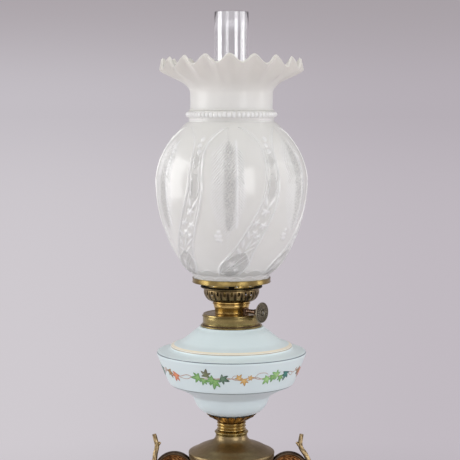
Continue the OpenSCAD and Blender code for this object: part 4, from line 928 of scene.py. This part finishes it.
rim_low, rim_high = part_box("roundel_rim_right")
ROUNDEL_X = rim_high.x / MM - ROUNDEL_R
ROUNDEL_Z = (rim_low.z + rim_high.z) / 2 / MM
BRANCH_R = 24.4
BARK = 0.12
STRAP_FOOT = (38.2, ROUNDEL_Z - 35)
stems = {"left": [(20.3, 19.2), (18.6, 26.7), (19.7, 33.2), (21.5, 40.2)],
         "right": [(17.5, 19.2), (13.2, 25.7), (12.6, 32.2), (13.9, 40.2)]}
shoots = {"left": (15.2, 31.5), "right": (8.4, 31.5)}
arc = [(BRANCH_R * math.cos(t), BRANCH_R * math.sin(t)) for t in np.radians(np.linspace(-118, 30, 60))]
for side, sign in (("left", -1), ("right", 1)):
    line = smooth([(STRAP_FOOT[0] - ROUNDEL_X, STRAP_FOOT[1] - ROUNDEL_Z)] + arc + stems[side], 3)
    path = [(sign * (ROUNDEL_X + x), 0, ROUNDEL_Z + z) for x, z in line]
    last = len(path) - 1
    thick = np.interp(np.arange(len(path)), [0, last - 9, last], [2.7, 2.6, 2.2])
    # Here and on the shoot, the bark mark paints shade where the bark sinks and leaves the knots and the cut ends
    # bright.
    grid, mark = sweep(path, thick, 24, BARK)
    skin("branch_" + side + "_twig", grid, "base", twig_brass, ["branch_" + side], closed=False,
         marks={"raise": mark})
    pad = [(sign * x, 0, STRAP_FOOT[1]) for x in (36.8, 38.5, 40.2, 40.8)]
    skin("branch_" + side + "_pad", sweep(pad, [3.8, 3.8, 3.8, 3.2], 32)[0], "base", twig_brass,
         closed=False)
    x0, z0 = stems[side][1]
    x1, z1 = shoots[side]
    spur = [(sign * (ROUNDEL_X + x0 + (x1 - x0) * t), 0, ROUNDEL_Z + z0 + (z1 - z0) * t)
            for t in np.linspace(0, 1, 12)]
    grid, mark = sweep(spur, np.linspace(1.9, 1.25, 12), 20, BARK)
    skin("branch_" + side + "_shoot", grid, "base", twig_brass, closed=False,
         marks={"raise": mark})
print("branch tips at", round(ROUNDEL_Z + 40.2, 1), "mm")

# %% [markdown]
# ## Pierced bowl
# Air reaches the flame through the bowl. It is pressed from sheet with upright gadroons, then pierced with a
# row of slots and a row of small holes. The grid leaves out the faces inside each hole, and a Solidify
# modifier gives the sheet its thickness, so the bowl is really open.

# %% Bowl
bowl_low = foot("pierced_bowl")
bowl_high = top("pierced_bowl")
LIP_R = reach("pierced_bowl")
SLOTS = 24
SLOT_HALF, SLOT_Z, SLOT_RISE = 0.95, 9.7, 2.3
HOLE_R, HOLE_Z = 0.95, 3.4
t = np.linspace(0, math.pi / 2, 40)
bulge_line = np.stack([20 + 9.3 * np.sin(t) ** 0.9, bowl_low + 12 * (1 - np.cos(t))], -1)
lip_line = np.array(smooth(raised(bowl_high, (29.3, -3.0), (29.2, -2.4), (29.9, -1.9), (31.6, -1.3),
                                  (LIP_R, -0.7), (LIP_R - 0.3, -0.1), (27.0, -0.02)), 6))
bowl_line = np.vstack([level(13.2, SEAT_R, bowl_low + 0.02), bulge_line, lip_line])
bowl_grid = turn(bowl_line, SLOTS * 16)
bowl_a = np.linspace(0, 2 * math.pi, SLOTS * 16, endpoint=False)
bowl_up = bowl_line[:, 1:] - bowl_low
on_wall = np.exp(-((bowl_up - 6.6) / 4.6) ** 4) * (bowl_line[:, :1] > 20)
gadroons = abs(np.cos(bowl_a * SLOTS / 2)) ** 0.7
bowl_grid[..., :2] *= (1 + 0.022 * on_wall * (gadroons - 0.6))[..., None]
# bowl_mark paints shade into the furrows between the gadroons.
bowl_mark = np.clip(1 - 1.2 * on_wall * (1 - gadroons), 0, 1)


def off_row(turned, radius):
    """Distance in mm of each column from the nearest opening of a row, at that radius."""
    return abs((bowl_a * SLOTS / (2 * math.pi) + turned) % 1 - 0.5) * 2 * math.pi / SLOTS * radius


in_slot = (off_row(0.5, 29) < SLOT_HALF) & (abs(bowl_up - SLOT_Z) < SLOT_RISE)
in_hole = off_row(0, 25) ** 2 + (bowl_up - HOLE_Z) ** 2 < HOLE_R ** 2
pierced = (in_slot | in_hole | rack_way(bowl_grid))[:-1]
pressed = skin("bowl_pressed", bowl_grid, "burner", dark_brass, ["pierced_bowl"], closed=False,
               keep=~pierced, marks={"raise": bowl_mark})
thicken(pressed, 0.7)
print("bowl pierced with", SLOTS, "slots and", SLOTS, "holes")

# %% [markdown]
# ## Side knob
# The knob that raises the wick is a pressed disc with fine rays between a ring and a rounded rim, riveted to
# its spindle. It is drawn round Z and then laid along the spindle, whose line the record's joint gives.

# %% Along the spindle
wick_joint = next(j for j in frame["joints"] if j["name"] == "wick_knob")
knob_at = Vector(wick_joint["pos_m"]) / MM
knob_axis = Vector(wick_joint["axis"]).normalized()
KNOB_OUT = math.hypot(knob_at.x, knob_at.y)


def along_spindle(grid):
    """Lays a grid drawn round Z along the spindle, with its height as the distance from the lamp's axis."""
    x, y, z = grid[..., 0], grid[..., 1], grid[..., 2]
    return np.stack([knob_axis.x * z - knob_axis.y * x, knob_axis.y * z + knob_axis.x * x, knob_at.z + y], -1)


# %% Knob
KNOB_R = 10.8
RAYS = 26
back = raised(KNOB_OUT - 5.2, (1.2, 0), (2.7, 0), (3.5, 3.0), (4.2, 3.0), (KNOB_R - 1, 3.0))
knob_edge = [(KNOB_R - 0.9 + 0.9 * math.sin(t), KNOB_OUT - 1.3 - 0.9 * math.cos(t))
             for t in np.linspace(0.2, math.pi - 0.2, 10)]
front_r = np.concatenate([np.linspace(KNOB_R - 1.2, 4.6, 34), np.linspace(4.5, 0.02, 36)])
knob_grid = turn(back + knob_edge + [(r, KNOB_OUT - 0.55) for r in front_r], RAYS * 12)
knob_a = np.linspace(0, 2 * math.pi, RAYS * 12, endpoint=False)
r = front_r[:, None]
ray = (r < KNOB_R - 1.4) * (r > 4.7) * (0.5 + 0.5 * np.cos(RAYS * knob_a))
dome = 1.15 * np.sqrt(np.clip(1 - (r / 2.4) ** 2, 0, 1))
inner_ring = np.exp(-((r - 4.0) / 0.45) ** 2)
front_swell = np.exp(-((r - 7.2) / 2.6) ** 2)
knob_grid[-len(front_r):, :, 2] += 0.45 * ray + dome + 0.5 * inner_ring + 0.35 * front_swell - 0.2
# knob_mark paints shade into the grooves between the rays and leaves the rays, the dome and the inner ring bright.
knob_mark = np.ones(knob_grid.shape[:2])
knob_mark[-len(front_r):] = np.clip(0.12 + 0.88 * ray + dome + inner_ring, 0, 1)
skin("knob_rayed", along_spindle(knob_grid), "wick_raiser", pewter,
     ["raiser_knob", "knob_rivet"], closed=False, marks={"raise": knob_mark})
sleeve = ([(1.3, 17.6), (2.3, 17.6), (2.3, 20.0)] + bead(2.3, 0.5, 20.2, 21.4, 8)
          + [(2.3, 21.6), (2.1, 24), (2.2, 28.6)] + bead(2.2, 0.7, 29.6, 31.4, 8) + [(1.3, 31.5)])
skin("spindle_sleeve", along_spindle(turn(sleeve, 40)), "burner", bracket_brown)
print("knob stands", round(KNOB_OUT, 1), "mm out")

# %% [markdown]
# ## Chimney
# The chimney is blown from clear glass: a wide foot in the prongs, a sharp throat that squeezes the draught
# onto the flame, and a long tube with a fire-polished lip. It has two walls, so light bends in it as it does
# in glass.

# %% Clear glass
clear_glass = Finish("clear_glass", Roughness=0.015, IOR=1.5, Transmission_Weight=1.0, Coat_Weight=1.0,
                     Coat_IOR=1.7, Coat_Roughness=0.02)
clear_glass.shader.inputs["Base Color"].default_value = light(250, 251, 251)
clear_glass.bump(clear_glass.noise(9, 2.0, stretch=(1, 1, 0.15)), 0.5, 0.06)

# %% Blown outline
chimney_foot = foot("chimney")
chimney_top = top("chimney")
CHIMNEY_FOOT_R, THROAT_R, TUBE_R = 26, 16.5, 18
foot_part = [(CHIMNEY_FOOT_R, chimney_foot + z) for z in (0.6, 8, 16, 24, 30)]
throat = s_curve(CHIMNEY_FOOT_R, THROAT_R, chimney_foot + 32, chimney_foot + 42, 26)
opening = s_curve(THROAT_R, TUBE_R, chimney_foot + 42, chimney_foot + 68, 18, 0.05)
tube_part = [(TUBE_R, z) for z in np.linspace(chimney_foot + 72, chimney_top - 1, 12)]
glass_walls = walls(foot_part + throat + opening + tube_part, 1.6)
half = len(glass_walls) // 2
chimney_line = (raised(chimney_foot, (25.1, 0), (25.8, 0.15)) + glass_walls[:half]
                + raised(chimney_top, (17.8, -0.3), (17.2, 0), (16.6, -0.3)) + glass_walls[half:]
                + [(24.4, chimney_foot + 0.15)])
lathe("chimney_blown", chimney_line, "chimney_body", clear_glass, ["chimney"])
print("chimney of", round(chimney_top - chimney_foot, 1), "mm")

# %% [markdown]
# ## The pressed shade
# The shade was blown into a mould, so its pattern is relief in the glass: six swelling panels under round
# arches, swirled bands of ovals and flowers between them, a feathered strip up the middle of each panel, a
# beaded collar and a crimped rim. Acid then frosted it, and the raised ribs and windows stayed clearer.
# The body's outline and the turn of its lobes are those of the solid shade. The rim flares more freely.

# %% Outline of the shade
SHADE_FOOT = foot("shade")
LOBES = 6
CRIMPS = 18
MOUTH_R, BELLY_R, NECK_R, RIM_R = 43, 79.3, 44.4, 74.6
MOUTH_Z, BELLY_Z, COLLAR_Z, NECK_Z = 10.2, 106.2, 169.2, 197.7


def shade_rows(r, z, lobed=0, crimped=0):
    """Rows of the outline: radius, height, share of the lobes and share of the crimps."""
    return np.stack(np.broadcast_arrays(r, z, lobed, crimped), -1)


low_t = np.linspace(0, 1, 120) ** 1.5
swelling = np.sin(low_t * math.pi / 2)
lower = shade_rows(MOUTH_R + (BELLY_R - MOUTH_R) * swelling ** 0.7,
                   MOUTH_Z + (BELLY_Z - MOUTH_Z) * low_t, swelling)
high_t = 1 - np.linspace(1, 0, 100) ** 1.5
closing = np.cos(high_t * math.pi / 2)
upper = shade_rows(NECK_R + (BELLY_R - NECK_R) * closing ** 0.8,
                   BELLY_Z + (COLLAR_Z - BELLY_Z) * high_t, closing)
rim_t = np.linspace(0, 1, 46)
flare = shade_rows(NECK_R + (RIM_R - NECK_R) * rim_t ** 2,
                   NECK_Z + 23 * rim_t + 8 * rim_t ** 6, 0, rim_t ** 3.6)
foot_line = [(40.2, z) for z in (0, 2.5, 5.2)] + smooth([(40.3, 6.2), (40.9, 8.2), (42.0, 9.7)], 4)
collar_line = (bead(44.8, 1.6, 169.4, 171.4, 6) + bead(45.8, 2.2, 171.8, 179.6, 18)
               + bead(44.8, 0.9, 179.8, 181.3, 5) + [(NECK_R, z) for z in np.linspace(182, 197, 16)])
shade_line = np.vstack([shade_rows(*np.transpose(foot_line)), lower, upper[1:-1],
                        shade_rows(*np.transpose(collar_line)), flare])
print("shade outline of", len(shade_line), "points")

# %% Where a point lies in the pattern
COLUMNS = 660
SHADE_TALL = 235
azimuth = np.linspace(0, 360, COLUMNS, endpoint=False)
line_r, up = shade_line[:, :1], shade_line[:, 1:2]


def swirl(z):
    """Azimuth of the middle of the front panel at a height over the shade's foot, in degrees."""
    return 2 - 36 * np.clip((BELLY_Z - z) / (BELLY_Z - MOUTH_Z), 0, 1) ** 1.6


from_panel = ((azimuth - swirl(up) + 30) % 60 - 30) * math.pi / 180 * line_r
from_band = ((azimuth - swirl(up)) % 60 - 30) * math.pi / 180 * line_r
from_spine = ((azimuth - swirl(SHADE_TALL) - 2 + 30) % 60 - 30) * math.pi / 180 * line_r


def soft(distance, width):
    """1 on a line and falling smoothly to 0 at that width from it."""
    return np.exp(-(distance / width) ** 2)


def inside(distance, edge, blur=0.6):
    """1 where a distance is under the edge, and 0 beyond it."""
    return 1 / (1 + np.exp(np.clip((distance - edge) / blur * 4, -40, 40)))


def pointed_oval(middle, wide, tall):
    """How far a point of a band lies inside a pointed oval, 1 at its middle and 0 at its edge and beyond."""
    end = np.clip(1 - ((up - middle) / tall) ** 2, 0, 1)
    return np.clip(1 - abs(from_band) / (wide * end + 1e-6), 0, 1) * (end > 0)


def petals(side, height, size):
    """A small flower of five round petals on a band, round its own middle."""
    d = np.hypot(from_band - side, up - height)
    phi = np.arctan2(up - height, from_band - side)
    return inside(d, size * (0.72 + 0.28 * np.cos(5 * phi)), 0.8) * (0.45 + 0.55 * soft(d, size * 0.3))


def leaf(side, height, lean):
    """A small leaning leaf on a band, 2 mm to each side of its rib and 6 mm up and down."""
    x, z = from_band - side, up - height
    across = x * math.cos(lean) + z * math.sin(lean)
    along = z * math.cos(lean) - x * math.sin(lean)
    end = np.clip(1 - (along / 6) ** 2, 0, 1)
    return np.clip(1 - (across / (2 * end + 1e-6)) ** 2, 0, 1) * (end > 0) * (0.6 + 0.4 * soft(across, 0.5))


def at_spots(shape, *spots):
    """The same shape at several spots."""
    return sum(shape(*spot) for spot in spots)


# %% Relief of panels and bands
BAND_HALF = ((10, 9), (16, 13), (24, 14.5), (34, 12), (44, 10.6), (56, 10.2), (79, 9.6), (108, 7.4),
             (130, 6.3), (166, 5.2))
BODY_FOOT, BODY_TOP = 11, 168
ARCH_FOOT, ARCH_RISE = 137, 27
band_half = np.interp(up, *zip(*BAND_HALF))
arch = np.sqrt(np.clip(1 - ((up - ARCH_FOOT) / ARCH_RISE) ** 2, 0, 1))
panel_half = (line_r * math.pi / 6 - band_half) * np.where(up > ARCH_FOOT, arch, 1)
on_body = (up > BODY_FOOT) * (up < BODY_TOP)
edge_off = abs(from_panel) - panel_half
under_arch = (up < ARCH_FOOT + ARCH_RISE - 0.6) * on_body
ribs = soft(edge_off, 1.0) * under_arch + 0.5 * soft(edge_off - 2.8, 0.7) * under_arch
in_panel = inside(edge_off, -0.6) * on_body

feather_half = np.interp(up, [52, 66, 88, 138, 152], [0, 10, 18, 16, 0])
feather = inside(abs(from_spine + 9), feather_half, 3) * in_panel
core = inside(abs(from_spine + 7.5), 0.32 * feather_half, 2.4) * in_panel * (up > 60)
barbs = 0.5 + 0.5 * np.sin((up + 1.2 * abs(from_spine)) * 2 * math.pi / 3.4)
spine = soft(from_spine, 1.1) * inside(abs(up - 106), 44, 2) * in_panel
berries = at_spots(lambda side, z: inside(np.hypot(from_spine - side, up - z), 1.9, 0.7),
                   (-18, 58), (-20.5, 54), (-16.5, 53.5), (-19, 50), (-15.5, 49))

small_oval, long_oval = pointed_oval(129.4, 3.8, 7.4), pointed_oval(103.5, 5.6, 15)
oval_rims = soft(small_oval - 0.16, 0.12) * (small_oval > 0) + soft(long_oval - 0.14, 0.1) * (long_oval > 0)
pearls = at_spots(lambda side, z: inside(np.hypot(from_band - side, up - z), 2.4, 0.8),
                  (0.8, 151.5), (-0.6, 145), (0.4, 139))
flowers = at_spots(petals, (0, 78, 5.0), (-4.6, 67, 4.2), (4.4, 64, 4.2), (-0.5, 56.5, 3.8), (5, 53, 3))
leaves = at_spots(leaf, (-6, 55, 0.7), (6.4, 46, -0.7), (-5.6, 46, 0.5), (0.6, 45, 0.0), (-4.6, 37.5, 0.9),
                  (4.8, 38, -0.9), (-3.4, 88, 0.4), (3.2, 86, -0.4))
print("panel ribs, feathers, ovals, flowers and leaves are drawn over", on_body.sum(), "rows")

# %% Relief of windows, collar and rim
WINDOW_FOOT, WINDOW_TOP = 10.5, 37
window_rise = np.clip((up - WINDOW_FOOT) / (WINDOW_TOP - WINDOW_FOOT), 0, 1)
window_half = 14.5 * np.sin(math.pi * window_rise ** 0.8) ** 0.7
in_window = (up > WINDOW_FOOT) * (up < WINDOW_TOP)
window = inside(abs(from_band), window_half - 0.9, 0.8) * in_window
window_rim = soft(abs(from_band) - window_half, 0.8) * in_window
window_rib = window * (soft(from_band - (up - 22) * 0.9 - 2, 0.8)
                       + soft(from_band - (up - 16) * 0.6 + 6, 0.7))
window_flower = petals(-4, 24, 4.4) + petals(3.4, 17.5, 3.2)
beads = abs(np.sin(azimuth / 360 * math.pi * 60)) ** 0.7 * inside(abs(up - 175.7), 2.9, 0.8)
scallops = sum(soft(up - z - 2.6 * abs(np.sin(np.radians(azimuth * 9 + turned))), 0.8) * (window < 0.5)
               for z, turned in ((13.5, 0), (6.4, 40)))

RELIEF_MM = 1.5
relief = (0.75 * ribs + 0.46 * feather * barbs + 0.35 * spine + 0.5 * berries
          + 0.25 * (small_oval + long_oval) ** 0.5 + 0.6 * oval_rims + 0.75 * pearls + 0.75 * flowers
          + 0.6 * leaves + 0.6 * window_rim + 0.5 * window_rib + 0.5 * window_flower + 0.9 * beads
          + 0.4 * scallops - 0.2 * in_panel * feather)
relief = np.minimum(1.7 * relief, RELIEF_MM)
in_band = (1 - in_panel) * on_body * (up < ARCH_FOOT + 6)
clear_mark = np.clip(0.2 * core + 0.13 * in_band + 0.18 * ((small_oval + long_oval) > 0.2) + 0.3 * window
                     + 0.35 * (up < 16) - 0.8 * window_flower * window, 0, 1)
etched_mark = np.clip(core * (0.4 + 0.6 * barbs) + 0.25 * feather * barbs + 0.4 * window, 0, 1)
# crest_highlight_mark marks the raised relief, which the frosted finish paints with a highlight and a stronger
# coat.
crest_highlight_mark = np.clip(ribs + 0.9 * feather * barbs * (1 - 0.8 * core) + spine + berries + oval_rims + pearls
                     + 2 * flowers + 1.6 * leaves + window_rim + window_rib + window_flower + beads
                     + 0.6 * scallops, 0, 1)
print("relief up to", round(float(relief.max()), 2), "mm")

# %% Shade mesh
LOBE_MM = 2
CRIMP_IN, CRIMP_LIFT, CRIMP_TURN = 0.8, 6.8, 1.5
DROOP = 3
SHADE_WALL = 2.7


def shade_points(line, out):
    """Points of the shade for rows of its outline, pushed out in mm. The rim was crimped by hand, deeper at
    the sides than at the front, and it droops a little at the sides."""
    r, z, lobed, crimped = (line[:, k:k + 1] for k in range(4))
    lobe = (1 + np.cos(np.radians(LOBES * (azimuth - swirl(z))))) / 2
    crimp = np.cos(np.radians(CRIMPS * (azimuth + CRIMP_TURN)))
    depth = 0.72 - 0.12 * np.cos(np.radians(2 * azimuth))
    radius = r + LOBE_MM * lobed * lobe - CRIMP_IN * crimped * crimp + out
    a = np.radians(azimuth)
    lift = crimped * (CRIMP_LIFT * (1 - depth * (1 - crimp)) - DROOP * np.sin(a) ** 2)
    return np.stack([radius * np.sin(a), -radius * np.cos(a), SHADE_FOOT + z + lift], -1)


sunk = 0.54 * on_body + inside(up, 206, 24) * (up > BODY_TOP)
outer = shade_points(shade_line, relief - RELIEF_MM * sunk)
few = np.unique(np.concatenate([np.arange(0, len(shade_line), 6), [len(shade_line) - 1]]))
slope = np.gradient(shade_line[:, :2], axis=0)
normal = np.stack([-slope[:, 1], slope[:, 0]], -1) / np.linalg.norm(slope, axis=1)[:, None]
inner_line = shade_line.copy()
inner_line[:, :2] += SHADE_WALL * normal
inner_line[:, 1] = np.clip(inner_line[:, 1], 0, None)
inner = shade_points(inner_line[few][::-1], 0)
frosted_marks = {label: np.vstack([mark * np.ones_like(outer[..., 0]), np.zeros(inner.shape[:2])])
                 for label, mark in (("clear", clear_mark), ("etched", etched_mark), ("crest_highlight", crest_highlight_mark))}
print("shade grid", outer.shape, inner.shape)

# %% Frosted glass
frosted = Finish("frosted_glass", IOR=1.5, Subsurface_Weight=0.2, Subsurface_Scale=0.003, Coat_IOR=1.75,
                 Coat_Roughness=0.12)
frosted.shader.inputs["Subsurface Radius"].default_value = (1.0, 0.98, 0.94)
cloud = frosted.noise(20, 3.0)
grain = frosted.noise(900, 2.0)
speck = frosted.noise(560, 2.0, rough=0.7).over(0.52, 0.12)
clear_share = frosted.marked("clear")
etched = frosted.marked("etched")
crest_highlight = frosted.marked("crest_highlight")
over_foot = frosted.height() - SHADE_FOOT
warm = frosted.blend(light(243, 242, 238), light(236, 235, 230), cloud.over(0.5, 0.5))
warm = frosted.blend(warm, light(238, 234, 226), over_foot.over(204, 40) * 0.8)
warm = frosted.blend(warm, light(182, 182, 181), clear_share * 0.7)
warm = frosted.blend(warm, light(150, 150, 153), etched * speck * 0.5)
# Painted highlight: the raised crests are whitened.
warm = frosted.blend(warm, light(255, 255, 254), crest_highlight * 0.9)
frosted.set(Base_Color=warm, Roughness=0.5 - crest_highlight * 0.22 + grain * 0.08,
            Coat_Weight=(crest_highlight * 0.3 + 0.7) * (1 - over_foot.over(180, 6) * 0.7))
frosted.bump(grain * 0.3 + frosted.noise(160, 3.0) * 0.6 + etched * speck * 2.0, 0.16, 0.5)
window_glass = frosted.node("ShaderNodeBsdfPrincipled", None,
                            {"Base Color": light(248, 248, 246), "Roughness": 0.3, "IOR": 1.45,
                             "Transmission Weight": 1.0})
frosted.cover(clear_share * 0.35 + 0.18, window_glass)
skin("shade_pressed", np.vstack([outer, inner]), "shade_body", frosted, ["shade"],
     marks=frosted_marks)
print("shade of", len(outer) + len(inner), "rows and", COLUMNS, "columns")

# %% [markdown]
# ## The pieces that keep their solid
# Feet, tubes, prongs, wick and the hidden rods are right as they were modelled. They only get their finish.

# %% Other finishes
cotton = Finish("cotton", Roughness=0.9, Sheen_Weight=0.3)
char = (cotton.height() - top("wick")).over(-1.6, 1.6)
weave = (cotton.axis(2) * 5200).sine() * 0.5 + cotton.noise(1500, 2.0)
thread = cotton.blend(light(226, 216, 190), light(196, 182, 150), cotton.noise(120))
cotton.set(Base_Color=cotton.blend(thread, light(42, 36, 30), char))
cotton.bump(weave, 0.25, 0.6)
leather = Finish("leather", Roughness=0.62)
leather.set(Base_Color=leather.blend(light(92, 66, 44), light(62, 42, 28), leather.noise(160)))
leather.bump(leather.noise(900, 3.0), 0.1, 0.5)
plaster = Finish("plaster", Roughness=0.85)
plaster.set(Base_Color=plaster.blend(light(222, 218, 206), light(196, 190, 176), plaster.noise(90)))
plaster.bump(plaster.noise(400, 4.0), 0.15, 0.5)
iron = Finish("iron", Roughness=0.6, Metallic=0.6)
iron.set(Base_Color=iron.blend(light(66, 64, 62), light(90, 70, 56), iron.noise(60).over(0.6, 0.3)))
iron.bump(iron.noise(500, 4.0), 0.2, 0.6)

# %% Dress the solids
finish_of = {"cast_brass": cast_brass, "iron": iron, "steel": steel, "spun_brass": spun_brass,
             "gilt_brass": bright_brass, "grey_brass": rim_brass, "copper_brown": copper_brown,
             "lacquered_crown": crown_brass, "plaster": plaster, "opaline": opaline,
             "collar_brass": collar_brass, "leather": leather, "tube_brass": tube_brass,
             "bowl_bronze": dark_brass, "spindle_bronze": bracket_brown, "knob_pewter": pewter,
             "cotton": cotton, "clear_glass": clear_glass, "frosted_glass": frosted}
# The chimney seat and the shade ring's arms stand in the dark gap under the shade ring. They get the bowl's brass
# without its mark, which paints them nearly black: painted shade.
shaded_in_gap = {"chimney_seat": dark_brass, "shade_ring_arms": dark_brass}
for part in frame["record"]["subparts"]:
    solid_piece = frame["nodes"][part["node"]]
    solid_piece.data.materials.clear()
    chosen = shaded_in_gap.get(part["node"], finish_of[part["material_slot"]])
    solid_piece.data.materials.append(chosen.material)
print("solids dressed:", len(frame["nodes"]))
